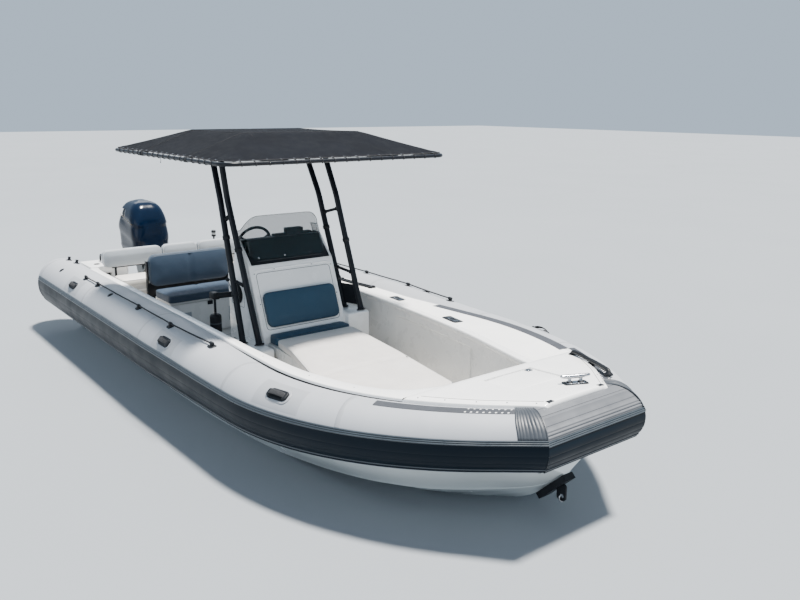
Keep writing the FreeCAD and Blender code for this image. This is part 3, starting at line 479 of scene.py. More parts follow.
ROUND = [(360.0 * k / 72, 0.0) for k in range(72)]
for side, node in ((1, "tube_port"), (-1, "tube_starboard")):
    b = Build()
    b.grid(side_rows(lambda x: ROUND), close_v=True)
    # stern cone turned about the tube's axis
    prof = []
    r = TUBE_R
    p0, pm, p1 = (STERN_X, r), (STERN_X - 0.118, r - 0.026), (CONE_X + 0.034, 0.158)
    for k in range(15):
        t = k / 14.0
        prof.append(tuple((1 - t) ** 2 * p0[j] + 2 * t * (1 - t) * (2 * pm[j] - 0.5 * (p0[j] + p1[j])) + t * t * p1[j] for j in (0, 1)))
    prof += [(CONE_X + 0.012, 0.132), (CONE_X, 0.100), (CONE_X, 0.0)]
    b.grid([[Vector((x, TUBE_Y + rr * math.cos(2 * math.pi * k / 72), TUBE_Z + rr * math.sin(2 * math.pi * k / 72))) for k in range(72)] for x, rr in prof], close_v=True)
    # weld seams round the tube, and a taped seam where the cone is joined
    for x in (STERN_X + 0.03, 1.42, 2.98, 4.55, 5.62):
        w = 0.016
        seam = lambda xx: [(d, 0.0018) for d in range(24, 140, 4)]
        rows = [[on_tube(x - w, d, 0.0002) for d in range(23, 150, 3)], [on_tube(x - w + 0.002, d, 0.0014) for d in range(23, 150, 3)],
                [on_tube(x + w - 0.002, d, 0.0014) for d in range(23, 150, 3)], [on_tube(x + w, d, 0.0002) for d in range(23, 150, 3)]]
        b.grid(rows, mat=1)
    if side < 0:
        b = b.mirror()
    b.out(node + "_skin", ["tube", "tube_seam"], nodes=[node], slot="tube_fabric", angle=40)

b = Build()
b.grid(bow_rows([(360.0 * k / 72, 0.0) for k in range(72)], 5), close_v=True)
b.out("tube_bow_skin", ["tube"], nodes=["tube_bow"], slot="tube_fabric", angle=40)

# ---- rubbing band: ribbed strakes over and under a broad navy face.  columns: degrees, stand-off mm, material
BAND = [(22.6, 0.5, 1), (22.4, 6, 1), (21.8, 9.5, 1), (20.8, 11, 1), (19.9, 9.5, 1), (19.4, 6.5, 1), (18.9, 10, 1), (17.9, 12.5, 1), (16.9, 11.5, 1), (16.4, 7.5, 1),
        (15.9, 11.5, 1), (14.8, 14, 1), (13.7, 12.5, 1), (13.1, 8, 0), (12.4, 7.4, 0), (9, 8, 0), (5, 9, 0), (1, 9.4, 0), (-3, 9.6, 0), (-4.2, 8.6, 0), (-5.0, 7.4, 0), (-5.8, 8.6, 0), (-7, 9.6, 0),
        (-12, 9.8, 0), (-17, 9.8, 0), (-18.2, 8.8, 0), (-19, 7.6, 0), (-19.8, 8.8, 0), (-21, 9.8, 0), (-27, 9.4, 0), (-31.5, 8.2, 0), (-32.4, 7.2, 0), (-33.0, 10.5, 1), (-34.2, 13, 1), (-35.6, 12.6, 1),
        (-36.4, 9, 1), (-37.0, 7.6, 0), (-37.8, 11, 0), (-39.2, 13.4, 0), (-41.4, 13.2, 0), (-43.2, 10.5, 0), (-44.1, 5.5, 0), (-44.4, 0.5, 0)]
band_pts = [(d, h / 1000.0) for d, h, _ in BAND]
b = Build()
half = Build()
half.grid(side_rows(lambda x: band_pts, xs=lin(STERN_X, 3.15, 12) + lin(3.35, 6.44, 40)), mats=[m for _, _, m in BAND][:-1])
half.fan([on_tube(STERN_X, d, h) for d, h in band_pts])
b.join(half)
b.join(half.mirror())
b.grid(bow_rows(band_pts, 7), mats=[m for _, _, m in BAND][:-1])
b.out("rub_band_ribbed", ["navy", "band_grey"], nodes=["rub_band"], slot="band_navy", angle=50)

# ---- bow: grey ribbed patch on the transverse length, pleated fans at the corners
PATCH = [(22.8, 0.6), (23.2, 3.2), (25.5, 3.6), (26.2, 6.5), (27.4, 7.6), (28.6, 6.5), (29.2, 3.4), (31.0, 3.2), (31.7, 6.8), (33.0, 8.2), (34.3, 6.8), (35.0, 3.2), (36.8, 3.0), (37.3, 5.0), (38.2, 5.8),
         (39.1, 5.0), (39.6, 2.6), (46, 2.6), (54, 2.6), (62, 2.6), (62.5, 3.8), (63.4, 4.0), (64.0, 2.6), (72, 2.6), (80, 2.6), (88, 2.6), (96, 2.6), (104, 2.4), (108, 1.4), (109, 0.4)]
pp = [(d, h / 1000.0) for d, h in PATCH]
b = Build()
b.grid(bow_rows(pp, 15))
for d0 in (47, 68, 88):
    b.grid(bow_rows([(d0, 0.0024), (d0 + 0.15, 0.0036), (d0 + 0.75, 0.0036), (d0 + 0.9, 0.0024)], 15), mat=1)
for s in (1, -1):
    h = Build()
    rows = []
    cols = 73
    angs = lin(22.8, 104, 34)
    c, t, out, up = station(6.50)
    for k in range(cols):
        f = k / (cols - 1)
        row = []
        for d in angs:
            pleat = abs(math.sin(math.pi * (9 * f + 0.35 * math.sin(5.1 * f) + 0.004 * (d - 60) * f))) ** 0.6 * (0.75 + 0.25 * math.sin(11.0 * f + 1.0))
            edge = min(1.0, (1 - abs(2 * f - 1)) * 14, (d - 22.8) * 0.6, (104 - d) * 0.5)
            dr = 0.0006 + (0.0022 + 0.0042 * pleat) * max(0.0, edge)
            a = on_tube(6.478, d, dr)
            z = to_mitre(on_tube(6.50, d, dr), t)
            f0 = 0.20 - 0.05 * smooth(23, 60, d)
            row.append(a + (z - a) * (f0 + (1 - f0) * f))
        rows.append(row)
    h.grid(rows, mat=1)
    # piped line along the mitre
    mitre = [to_mitre(on_tube(6.50, d, 0.004), t) for d in lin(23, 100, 26)]
    h.tube(mitre, 0.0045, 6, mat=1)
    if s < 0:
        h = h.mirror()
    b.join(h)
b.out("bow_patches", ["patch", "pleat"], slot="band_navy", angle=55)

# ---- nonslip strips let into the tube tops, with white bars near the bow
b = Build()
for s in (1, -1):
    h = Build()
    if s > 0:
        rows = []
        for x in lin(4.08, 5.80, 30):
            l, z = centre(x)[0] - ramp(CAP, x, 2), soft_ramp(CAP, x, 1) + 0.0022
            rows.append([Vector((x, l - d, z + dz)) for d, dz in ((0.010, -0.002), (0.0115, 0.0024), (0.040, 0.0030), (0.075, 0.0032), (0.1035, 0.0030), (0.105, -0.001))])
        h.grid(rows)
    o = 0 if s > 0 else -9
    h.grid([[on_tube(x, d + o, dr) for d, dr in ((84, 0.0003), (84.6, 0.0024), (92, 0.0026), (98, 0.0026), (103.4, 0.0024), (104, 0.0003))] for x in lin(5.78, 6.50, 14)])
    for k in range(8):
        x = 6.268 + k * 0.028
        h.grid([[on_tube(x, 86 + o, 0.0034), on_tube(x + 0.015, 101 + o, 0.0034)], [on_tube(x + 0.008, 86 + o, 0.0034), on_tube(x + 0.023, 101 + o, 0.0034)]], mat=1)
    if s < 0:
        h = h.mirror()
    b.join(h)
b.out("tube_nonslip_strips", ["strip", "mark"], slot="nonslip", angle=40)

# =====================================================================  hull
def catmull(table, x, col):
    n = len(table)
    for k in range(n - 1):
        if x <= table[k + 1][0] or k == n - 2:
            x0, x1 = table[k][0], table[k + 1][0]
            t = (x - x0) / (x1 - x0)
            p1, p2 = table[k][col], table[k + 1][col]
            m1 = (table[k + 1][col] - table[k - 1][col]) / (table[k + 1][0] - table[k - 1][0]) if k > 0 else (p2 - p1) / (x1 - x0)
            m2 = (table[k + 2][col] - table[k][col]) / (table[k + 2][0] - table[k][0]) if k < n - 2 else (p2 - p1) / (x1 - x0)
            if k == 0:
                m1 = 0.0
            h = x1 - x0
            t2, t3 = t * t, t * t * t
            return (2 * t3 - 3 * t2 + 1) * p1 + (t3 - 2 * t2 + t) * h * m1 + (-2 * t3 + 3 * t2) * p2 + (t3 - t2) * h * m2
    return table[-1][col]


def hull_half(x):
    zk, yc, zc = (catmull(HULL, x, c) for c in (1, 2, 3))
    cy, cz = centre(x)
    r = radius(x)
    yt = max(yc + 0.02, min(cy - 0.02, cy)) if x < 6.3 else max(0.30, cy - 0.02 - (x - 6.3) * 0.25)
    zt = cz - math.sqrt(max(0.0, r * r - (cy - min(yt, cy)) ** 2)) + 0.004
    flat = min(0.045, yc * 0.4)
    zf = zc - 0.012
    pts = [(0.0, zk)]
    # two lifting strakes stand down from the bottom
    for f, step in ((0.30, 0), (0.34, -0.016), (0.365, 0.0), (0.62, 0), (0.66, -0.016), (0.685, 0.0), (0.88, 0)):
        s = step * smooth(6.2, 5.2, x)
        pts.append(((yc - flat) * f, zk + (zf - zk) * f + s))
    pts += [(yc - flat, zf), (yc - 0.006, zf - 0.003), (yc, zf + 0.006), (yc + (yt - yc) * 0.12, zc + (zt - zc) * 0.10)]
    for f in (0.3, 0.5, 0.7, 0.9):
        bow = 0.012 * math.sin(math.pi * f)
        pts.append((yc + (yt - yc) * f + bow, zc + (zt - zc) * f))
    pts.append((yt, zt))
    return pts


b = Build()
rows = []
xs = lin(0, 3.15, 8) + lin(3.4, 6.54, 44)
for x in xs:
    h = hull_half(x)
    rows.append([Vector((x, -y, z)) for y, z in reversed(h)] + [Vector((x, y, z)) for y, z in h[1:]])
b.grid(rows)
b.fan(rows[0])
b.fan(rows[-1])
# shelf under the tubes, out to the cockpit wall
for s in (1, -1):
    g = []
    for x in xs:
        y, z = hull_half(x)[-1]
        w = (ramp(WALL, min(x, 5.87)) if s > 0 else ramp(WALL_S, min(x, 5.87))) + 0.03
        w = min(w, y - 0.005)
        g.append([Vector((x, s * y, z)), Vector((x, s * w, min(z, centre(x)[1] - radius(x) - 0.004)))])
    b.grid(g)
b.out("hull_skin", ["hull"], nodes=["hull"], slot="hull_gelcoat", angle=22)

# =====================================================================  side decks and cockpit walls
def deck_section(x, s):
    cy, cz = centre(x)
    yw, top, lip = soft_ramp(WALL, x, w=0.05 if x < 1 else 0.16), soft_ramp(CAP, x, 1), cy - soft_ramp(CAP, x, 2)
    if x < 0.45:
        yw = 0.918
    # a shallow panel is let into the wall between the seat footing and the bow
    rec = 0.022 * smooth(3.74, 3.78, x) * smooth(5.02, 4.98, x)
    rec2 = 0.020 * smooth(1.75, 1.79, x) * smooth(2.62, 2.58, x)
    rc = max(rec, rec2)
    p = [(yw, SOLE_Z - 0.004), (yw, SOLE_Z + 0.03), (yw, 0.255), (yw + rc, 0.275), (yw + rc, top - 0.135), (yw, top - 0.115), (yw, top - 0.052)]
    p += [(yw - 0.010, top - 0.046), (yw - 0.014, top - 0.038), (yw - 0.014, top - 0.018)]
    p += [(yw - 0.014 + 0.016 - 0.016 * math.cos(a), top - 0.016 + 0.016 * math.sin(a)) for a in lin(0.3, math.pi / 2, 5)]
    w = lip - yw
    p += [(yw + w * 0.10, top + 0.001), (yw + w * 0.14, top + 0.004), (yw + w * 0.5, top + 0.006), (yw + w * 0.86, top + 0.004), (yw + w * 0.90, top + 0.001)]
    p += [(lip - 0.010 + 0.010 * math.sin(a), top - 0.010 + 0.010 * math.cos(a)) for a in lin(0.1, math.pi / 2, 4)]
    p += [(lip, top - 0.020), (lip - 0.006, top - 0.024), (lip - 0.05, top - 0.024)]
    return [Vector((x, s * y, z)) for y, z in p]


def deck_section_s(x):
    cy, cz = centre(x)
    end = smooth(5.45, 5.60, x)
    yb, yt = soft_ramp(WALL_S, x, 1, 0.05), soft_ramp(WALL_S, x, 2, 0.05 + 0.05 * (1 - end))
    if x > 5.85:
        yb, yt = ramp(WALL_S, x, 1), ramp(WALL_S, x, 2)
    top, lip = soft_ramp(CAP, x, 1), cy - soft_ramp(CAP, x, 2)
    rec = 0.014 * smooth(1.75, 1.79, x) * smooth(2.62, 2.58, x)
    p = [(yb, SOLE_Z - 0.004), (yb, SOLE_Z + 0.03), (yb, 0.255), (yb + rec, 0.275), (yb + rec * 0.4, cz - 0.05), (yb + 0.002, cz + 0.035), (yb + (yt - yb) * 0.55, cz + 0.035 + (top - 0.06 - cz) * 0.56),
         (yt - 0.004, top - 0.052), (yt - 0.010, top - 0.044), (yt - 0.013, top - 0.036), (yt - 0.013, top - 0.014)]
    p += [(yt - 0.013 + 0.012 - 0.012 * math.cos(a), top - 0.012 + 0.012 * math.sin(a)) for a in lin(0.3, math.pi / 2, 5)]
    w = lip - yt
    p += [(yt + w * 0.25, top + 0.002), (yt + w * 0.5, top + 0.003), (yt + w * 0.75, top + 0.002)]
    p += [(lip - 0.010 + 0.010 * math.sin(a), top - 0.010 + 0.010 * math.cos(a)) for a in lin(0.1, math.pi / 2, 4)]
    p += [(lip, top - 0.020), (lip - 0.006, top - 0.024), (lip - 0.03, top - 0.024)]
    return [Vector((x, -y, z)) for y, z in p]


DX = lin(0.432, 0.70, 6) + lin(0.9, 1.70, 4) + [1.75, 1.77, 1.79] + lin(2.0, 2.56, 3) + [2.58, 2.60, 2.62] + lin(2.8, 3.6, 4) + [3.74, 3.76, 3.78] + lin(3.95, 4.95, 9) + [4.98, 5.0, 5.02] + lin(5.12, 5.878, 10)
for s, node in ((1, "side_deck_port"), (-1, "side_deck_starboard")):
    b = Build()
    if s > 0:
        rows = [deck_section(x, s) for x in DX]
    else:
        rows = [deck_section_s(x) for x in sorted(DX + [5.52, 5.62, 5.66, 5.70, 5.74, 5.78, 5.82, 5.835, 5.85, 5.865])]
    n = len(rows[0])
    mats = [0] * (n - 1)
    if s > 0:
        for j in range(15, 19):
            mats[j] = 1
    # the wall faces take the darkened gelcoat, painted shade
    mats[:9 if s > 0 else 8] = [2] * (9 if s > 0 else 8)
    b.grid(rows, mats=mats)
    b.fan(rows[0])
    b.out(node + "_moulding", ["gel", "deck_grip", "gel_in"], nodes=[node], slot="gelcoat", angle=38)

# ---- bow deck with its locker
LID_X0, LID_X1, LID_Y = 5.985, 6.290, 0.225


def cap_z(x):
    return ramp(CAP, x, 1)


def lip_at(x):
    if x >= 6.59:
        return 0.285
    a = centre(x)[0] - ramp(CAP, x, 2)
    return a if x <= 6.30 else (centre(6.30)[0] - 0.055) + (x - 6.30) / 0.29 * (0.285 - centre(6.30)[0] + 0.055)


def deck_z(x, y):
    l = lip_at(min(x, 6.59))
    return cap_z(min(x, 6.59)) + 0.010 * smooth(0.0, 0.05, l - abs(y)) + 0.006 * (1 - (y / l) ** 2)


b = Build()
ux = [5.880, 5.885, 5.895, 5.93, LID_X0 - 0.012, LID_X0] + lin(LID_X0, LID_X1, 6)[1:-1] + [LID_X1, LID_X1 + 0.012] + lin(6.34, 6.55, 7) + [6.575, 6.585, 6.590]
rows = []
for x in ux:
    l = lip_at(x)
    ys = [l, l, l - 0.003, l - 0.010, l - 0.022, l - 0.036, l - 0.05]
    inner = lin(l - 0.05, LID_Y + 0.012, 5)[1:] + [LID_Y] + lin(LID_Y, 0, 4)[1:]
    zs = [cap_z(x) - 0.024, cap_z(x) - 0.009, cap_z(x) - 0.003, cap_z(x)]
    pts = []
    for k, y in enumerate(ys + inner):
        z = zs[k] if k < 4 else deck_z(x, y)
        if x < 5.883 and k > 1:
            z -= 0.008
        elif x < 5.888 and k > 1:
            z -= 0.003
        if x > 6.588:
            z -= 0.010 if k > 1 else 0.0
        elif x > 6.58:
            z -= 0.003 if k > 1 else 0.0
        pts.append(Vector((x, y, z)))
    rows.append([Vector((p.x, -p.y, p.z)) for p in pts] + [p for p in reversed(pts[:-1])])
# front apron
fr = [Vector((6.593, p.y * 1.0, min(p.z, 0.8845) - 0.014)) for p in rows[-1]]
rows.append(fr)
rows.append([Vector((6.590, p.y, 0.856)) for p in fr])
w = len(rows[0])
verts = [p for r in rows for p in r]
faces, idx = [], []
for a in range(len(rows) - 1):
    for j in range(w - 1):
        q = (a * w + j, a * w + j + 1, (a + 1) * w + j + 1, (a + 1) * w + j)
        m = sum((verts[k] for k in q), Vector()) / 4
        if LID_X0 < m.x < LID_X1 and abs(m.y) < LID_Y:
            continue
        faces.append(q)
        idx.append(0)
b.add(verts, faces, idx)
# locker: rebate, coaming and well
def rect(inset, zf, n=8):
    x0, x1, y = LID_X0 + inset, LID_X1 - inset, LID_Y - inset
    pts = [(x, -y) for x in lin(x0, x1, n)][:-1] + [(x1, yy) for yy in lin(-y, y, n)][:-1] + [(x, y) for x in lin(x1, x0, n)][:-1] + [(x0, yy) for yy in lin(y, -y, n)][:-1]
    return [Vector((x, yy, zf(x, yy))) for x, yy in pts]


ledge = lambda x, y: cap_z(x) - 0.008
loops = [rect(0.0, deck_z), rect(0.0, ledge), rect(0.012, ledge), rect(0.012, lambda x, y: 0.56)]
b.grid([loops[0], loops[1]], mat=0, close_v=True)
b.grid([loops[1], loops[2]], mat=2, close_v=True)
# the locker well takes the darkened gelcoat, painted shade
b.grid([loops[2], loops[3]], mat=3, close_v=True)
b.fan(loops[3], 3)
# bulkhead down to the sole, with a raised door outline
yb = 0.34
# the bulkhead takes the darkened gelcoat, painted shade
b.grid([[Vector((5.880, y, cap_z(5.88) - 0.01)) for y in lin(-lip_at(5.88), lip_at(5.88), 9)], [Vector((5.880, y, SOLE_Z)) for y in lin(-yb - 0.02, yb + 0.02, 9)]], mat=3)
b.box((5.868, -0.20, 0.30), (5.882, 0.20, 0.68), 0.010, 0)
# recessed seam round the working part of the deck, as a raised low plinth
b.out("bow_deck_moulding", ["gel", "deck_grip", "caulk", "gel_in"], nodes=["bow_deck"], slot="gelcoat", angle=34)

# locker lid: keeps its CAD size, crowned, with rounded edges and a latch
lo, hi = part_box("anchor_locker_lid")
b = Build()
g = 0.006
X0, X1, Y0 = LID_X0 + g, LID_X1 - g, LID_Y - g
rows = []
for x in [X0, X0 + 0.002, X0 + 0.008] + lin(X0 + 0.02, X1 - 0.02, 6) + [X1 - 0.008, X1 - 0.002, X1]:
    ex = min(x - X0, X1 - x)
    row = []
    for y in [-Y0, -Y0 + 0.002, -Y0 + 0.008] + lin(-Y0 + 0.02, Y0 - 0.02, 9) + [Y0 - 0.008, Y0 - 0.002, Y0]:
        e = min(ex, Y0 - abs(y))
        z = cap_z(x) - 0.003 + 0.012 + 0.007 * (1 - (y / Y0) ** 2) - 0.006 * (1 - smooth(0, 0.010, e))
        row.append(Vector((x, y, z)))
    rows.append(row)
b.grid(rows)
bot = [[Vector((p.x, p.y, cap_z(p.x) - 0.0025)) for p in r] for r in rows]
edge = lambda R: [p for p in R[0]] + [r[-1] for r in R[1:]] + [p for p in reversed(R[-1][:-1])] + [r[0] for r in reversed(R[1:-1])]
b.grid([edge(rows), edge(bot)], close_v=True)
b.fan(edge(bot))
zl = cap_z(X0 + 0.05) + 0.014
b.box((X0 + 0.018, 0.14, zl - 0.006), (X0 + 0.058, 0.185, zl + 0.004), 0.003, 1)
b.box((X0 + 0.026, 0.150, zl), (X0 + 0.050, 0.175, zl + 0.008), 0.003, 1)
b.out("anchor_locker_lid_skin", ["gel", "steel"], body="anchor_lid", nodes=["anchor_locker_lid"], slot="gelcoat", angle=34)

# =====================================================================  transom, quarters, sole
# the sunpad base takes the darkened gelcoat, painted shade
for n, m in (("transom", "gel"), ("cockpit_sole", "sole"), ("sunpad_base", "gel_in")):
    o = NODE[n]
    o.data.materials.clear()
    o.data.materials.append(M[m])
    bv = o.modifiers.new("edge", "BEVEL")
    bv.width = 0.008
    bv.segments = 3
    bv.limit_method = "ANGLE"
    bv.angle_limit = math.radians(40)
    bv.harden_normals = False

# quarter details: a dark panel of painted shade in each recess, rims round it and cup rims
b = Build()
for s in (1, -1):
    b.box((0.364, min(s * 0.792, s * 0.906), 0.604), (0.372, max(s * 0.792, s * 0.906), 0.702), 0.004, 0)
    b.box((0.423, min(s * 0.784, s * 0.914), 0.698), (0.431, max(s * 0.784, s * 0.914), 0.710), 0.003, 1)
    b.box((0.423, min(s * 0.784, s * 0.914), 0.594), (0.431, max(s * 0.784, s * 0.914), 0.604), 0.003, 1)
    for yy in (0.700, 0.900):
        b.lathe([(0, 0.034), (0.004, 0.034), (0.006, 0.028), (0.002, 0.024), (0.002, 0.0)], (0.24, s * yy, 0.772), (0, 0, 1), 20, 2)
b.out("quarter_fittings", ["shadow_gap", "gel", "plastic"], slot="black_plastic", angle=34)

# sole hatch and drains
b = Build()
for x0, x1 in ((1.80, 2.35),):
    for a in ((x0, -0.30, x1, -0.292), (x0, 0.292, x1, 0.30), (x0, -0.30, x0 + 0.008, 0.30), (x1 - 0.008, -0.30, x1, 0.30)):
        b.box((a[0], a[1], SOLE_Z - 0.001), (a[2], a[3], SOLE_Z + 0.0015), 0.0005, 0)
    b.lathe([(0, 0.030), (0.003, 0.030), (0.003, 0.022), (0.001, 0.018), (0.001, 0)], (x0 + 0.07, 0.0, SOLE_Z), (0, 0, 1), 20, 1)
b.out("sole_hatch", ["caulk", "steel"], slot="nonslip", angle=34)

# =====================================================================  cushions
MM = 0.001


def cushion(name, outline, z0, z1, crown=0.018, edge=0.024, mat="vinyl_grey", pipe="piping_light", body="boat", nodes=(), slot=None, m=None, seams=(), cell=0.035, plane=None):
    """Padded piece: soft rolled edges, a crown, piping at the seams and small wrinkles by the piping.
    outline: closed list of (u, v); z0..z1 its depth; m carries it into place."""
    n = len(outline)
    ctr = Vector((sum(p[0] for p in outline) / n, sum(p[1] for p in outline) / n))

    def inset(d):
        pts = []
        for k in range(n):
            a, p, c = Vector(outline[k - 1]), Vector(outline[k]), Vector(outline[(k + 1) % n])
            e1, e2 = (p - a).normalized(), (c - p).normalized()
            n1, n2 = Vector((-e1.y, e1.x)), Vector((-e2.y, e2.x))
            nn = (n1 + n2)
            nn = nn.normalized() if nn.length > 1e-6 else n1
            k2 = max(0.35, nn.dot(n1))
            pts.append(p + nn * (d / k2))
        return pts
    # signed area for the inward side
    area = sum(outline[k - 1][0] * outline[k][1] - outline[k][0] * outline[k - 1][1] for k in range(n))
    sgn = 1 if area > 0 else -1
    h = z1 - z0
    b = Build()
    top = z1 - crown

    def wr(k, amp):
        return amp * (math.sin(k * 2.1) + math.sin(k * 0.83 + 1.0)) * 0.5
    levels = [(0.010, z0), (0.003, z0 + 0.004), (0.0, z0 + 0.012), (-0.0008, (z0 + top) / 2 - 0.004), (-0.0005, top - edge * 0.75), (0.0025, top - edge * 0.42), (0.0075, top - edge * 0.14), (0.0125, top - 0.0005), (0.0165, top + crown * 0.06)]
    rings = []
    for li, (d, z) in enumerate(levels):
        r = inset(sgn * d)
        ring = []
        for k, p in enumerate(r):
            dz = wr(k, 0.0009) if 2 < li < 6 else 0
            ring.append(Vector((p.x, p.y, z + dz)))
        rings.append(ring)
    b.grid(rings, close_v=True)
    b.fan(rings[0])
    # crowned top made by filling the last ring with a grid and lifting it by its distance from the edge
    bm = bmesh.new()
    ring = rings[-1]
    vs = [bm.verts.new(p) for p in ring]
    bm.faces.new(vs)
    lo = [min(p[j] for p in ring) for j in (0, 1)]
    hi = [max(p[j] for p in ring) for j in (0, 1)]
    for ax in (0, 1):
        cnt = max(3, int((hi[ax] - lo[ax]) / cell))
        for c in lin(lo[ax], hi[ax], cnt + 2)[1:-1]:
            co = [0, 0, 0]
            co[ax] = c
            no = [0, 0, 0]
            no[ax] = 1
            bmesh.ops.bisect_plane(bm, geom=bm.verts[:] + bm.edges[:] + bm.faces[:], plane_co=co, plane_no=no)
    segs = [(Vector((ring[k].x, ring[k].y)), Vector((ring[(k + 1) % n].x, ring[(k + 1) % n].y))) for k in range(n)]

    def dist(p):
        best = 9
        for a, c in segs:
            ab = c - a
            t = max(0, min(1, (p - a).dot(ab) / max(1e-9, ab.dot(ab))))
            best = min(best, (p - a - ab * t).length)
        return best
    half = min(hi[0] - lo[0], hi[1] - lo[1]) / 2
    for v in bm.verts:
        p = Vector((v.co.x, v.co.y))
        d = dist(p)
        f = 1 - (1 - min(1.0, d / min(half, 0.16))) ** 2.4
        lift = crown * 0.94 * f
        lift += 0.0012 * math.sin(p.x * 37 + 1.3) * math.sin(p.y * 31 + 0.7) * f
        near = math.exp(-((d - 0.018) / 0.014) ** 2)
        lift += 0.0010 * near * math.sin((p.x + p.y * 1.3) * 160)
        for (ax, ay), (bx, by) in seams:
            a, c = Vector((ax, ay)), Vector((bx, by))
            ab = c - a
            t = max(0, min(1, (p - a).dot(ab) / ab.dot(ab)))
            s = (p - a - ab * t).length
            lift -= crown * 0.55 * math.exp(-(s / 0.014) ** 2)
        v.co.z = top + crown * 0.06 + lift
    bmesh.ops.recalc_face_normals(bm, faces=bm.faces)
    b.from_bm(bm, 0)
    # piping on the top and bottom seams
    for d, z, rr in ((0.0035, top - edge * 0.30, 0.0034), (0.0035, z0 + 0.006, 0.003)):
        b.tube([Vector((p.x, p.y, z)) for p in inset(sgn * d)], rr, 6, mat=1, closed=True)
    if m is not None:
        b.v = [m @ p for p in b.v]
    o = b.out(name, [mat, pipe], body=body, nodes=nodes, slot=slot, angle=75)
    return o


def rounded(x0, y0, x1, y1, r, n=5, step=0.05):
    """Rounded rectangle, anticlockwise, with even points on its sides."""
    out = []
    corners = [((x1 - r, y0 + r), -90), ((x1 - r, y1 - r), 0), ((x0 + r, y1 - r), 90), ((x0 + r, y0 + r), 180)]
    for (cx, cy), a in corners:
        out += arc_pts(cx, cy, r, a, a + 90, n)
    res = []
    for k, p in enumerate(out):
        q = out[(k + 1) % len(out)]
        d = math.hypot(q[0] - p[0], q[1] - p[1])
        c = max(1, int(d / step))
        res += [(p[0] + (q[0] - p[0]) * j / c, p[1] + (q[1] - p[1]) * j / c) for j in range(c)]
    return res


def even(pts, step=0.05, r=0.05, n=5):
    """Polygon with rounded corners and even points."""
    out = []
    m = len(pts)
    for k in range(m):
        a, p, c = Vector(pts[k - 1]), Vector(pts[k]), Vector(pts[(k + 1) % m])
        u, v = (a - p), (c - p)
        lu, lv = u.length, v.length
        u.normalize(); v.normalize()
        ang = math.acos(max(-1, min(1, u.dot(v))))
        if ang > math.radians(165):
            out.append(tuple(p))
            continue
        d = min(r / math.tan(ang / 2), lu * 0.45, lv * 0.45)
        p1, p2 = p + u * d, p + v * d
        for j in range(n + 1):
            t = j / n
            out.append(tuple(p1 * (1 - t) ** 2 + p * 2 * t * (1 - t) + p2 * t * t))
    res = []
    for k, p in enumerate(out):
        q = out[(k + 1) % len(out)]
        d = math.hypot(q[0] - p[0], q[1] - p[1])
        if d < 1e-5:
            continue
        c = max(1, int(d / step))
        res += [(p[0] + (q[0] - p[0]) * j / c, p[1] + (q[1] - p[1]) * j / c) for j in range(c)]
    return res


def stand_up(x, z0, lean=0.0):
    """Frame whose depth runs forward along X, for backrests: u is Y, v is Z."""
    return Matrix(((0, 0, 1, 0), (1, 0, 0, 0), (0, 1, 0, 0), (0, 0, 0, 1)))


UP = stand_up(0, 0)

# bow sunpad, over the raised island
# columns: station x, half breadth to port, to starboard
PADX = [(3.564, 0.400, 0.400), (3.900, 0.354, 0.453), (4.450, 0.278, 0.613), (5.000, 0.180, 0.713), (5.328, 0.123, 0.618)]
pad = [(x, -ramp(PADX, x, 2)) for x in (3.566, 3.9, 4.2, 4.45, 4.7, 5.0, 5.326)] + [(x, ramp(PADX, x)) for x in (5.326, 5.0, 4.45, 3.9, 3.566)]
cushion("sunpad_cushion_sewn", even(pad, 0.05, 0.05), 0.505, 0.590, crown=0.020, mat="vinyl_grey", nodes=["sunpad_cushion"], slot="vinyl_grey",
        seams=[((3.78, -0.41), (3.78, 0.36)), ((3.78, -0.30), (5.31, -0.30)), ((4.62, -0.63), (4.62, 0.24))])
# seat strip and backrest on the console front
lo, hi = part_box("console_seat_cushion")
cushion("console_seat_cushion_sewn", rounded(lo[0], lo[1], hi[0], hi[1], 0.03), lo[2], hi[2], crown=0.014, mat="vinyl_teal", pipe="piping", nodes=["console_seat_cushion"], slot="vinyl_teal")
tilt = Matrix.Translation((3.405, 0, 0.560)) @ Matrix.Rotation(math.radians(-21.07), 4, "Y") @ Matrix.Translation((-3.405, 0, -0.560))
cushion("console_backrest_sewn", rounded(-0.383, 0.634, 0.383, 0.956, 0.060), 3.409, 3.452, crown=0.012, edge=0.020, mat="vinyl_teal", pipe="piping", nodes=["console_backrest"], slot="vinyl_teal",
        m=tilt @ UP)
# helm seat
cushion("helm_seat_cushion_sewn", rounded(1.211, -0.599, 1.634, 0.339, 0.05), 0.5315, 0.6305, crown=0.020, mat="vinyl_slate", pipe="piping", body="helm_lid", nodes=["helm_seat_cushion"], slot="vinyl_slate",
        seams=[((1.22, -0.13), (1.625, -0.13))])
cushion("helm_seat_backrest_sewn", rounded(-0.599, 0.619, 0.339, 0.971, 0.080), 1.046, 1.134, crown=0.018, mat="vinyl_slate", pipe="piping", nodes=["helm_seat_backrest"], slot="vinyl_slate", m=UP,
        seams=[((-0.13, 0.66), (-0.13, 0.96))])
# stern bench
for k, (y0, y1) in enumerate(((-0.811, -0.210), (-0.196, 0.236), (0.250, 0.811))):
    cushion("stern_bench_cushion_%d" % (k + 1), rounded(0.523, y0, 0.844, y1, 0.045), 0.6015, 0.6895, crown=0.018, mat="vinyl_cream", nodes=["stern_bench_cushion"], slot="vinyl_cream",
            seams=[((0.60, y0 + 0.02), (0.60, y1 - 0.02))])
# the stern backrests carry that painted shade in their vinyl
for k, (y0, y1) in enumerate(((-0.899, -0.213), (-0.197, 0.231), (0.247, 0.899))):
    cushion("stern_backrest_%d" % (k + 1), rounded(y0, 0.766, y1, 0.961, 0.060), 0.422, 0.511, crown=0.016, mat="vinyl_back_painted_shade", nodes=["stern_backrests"], slot="vinyl_grey", m=UP,
            seams=[((y0 + 0.03, 0.845), (y1 - 0.03, 0.845))])

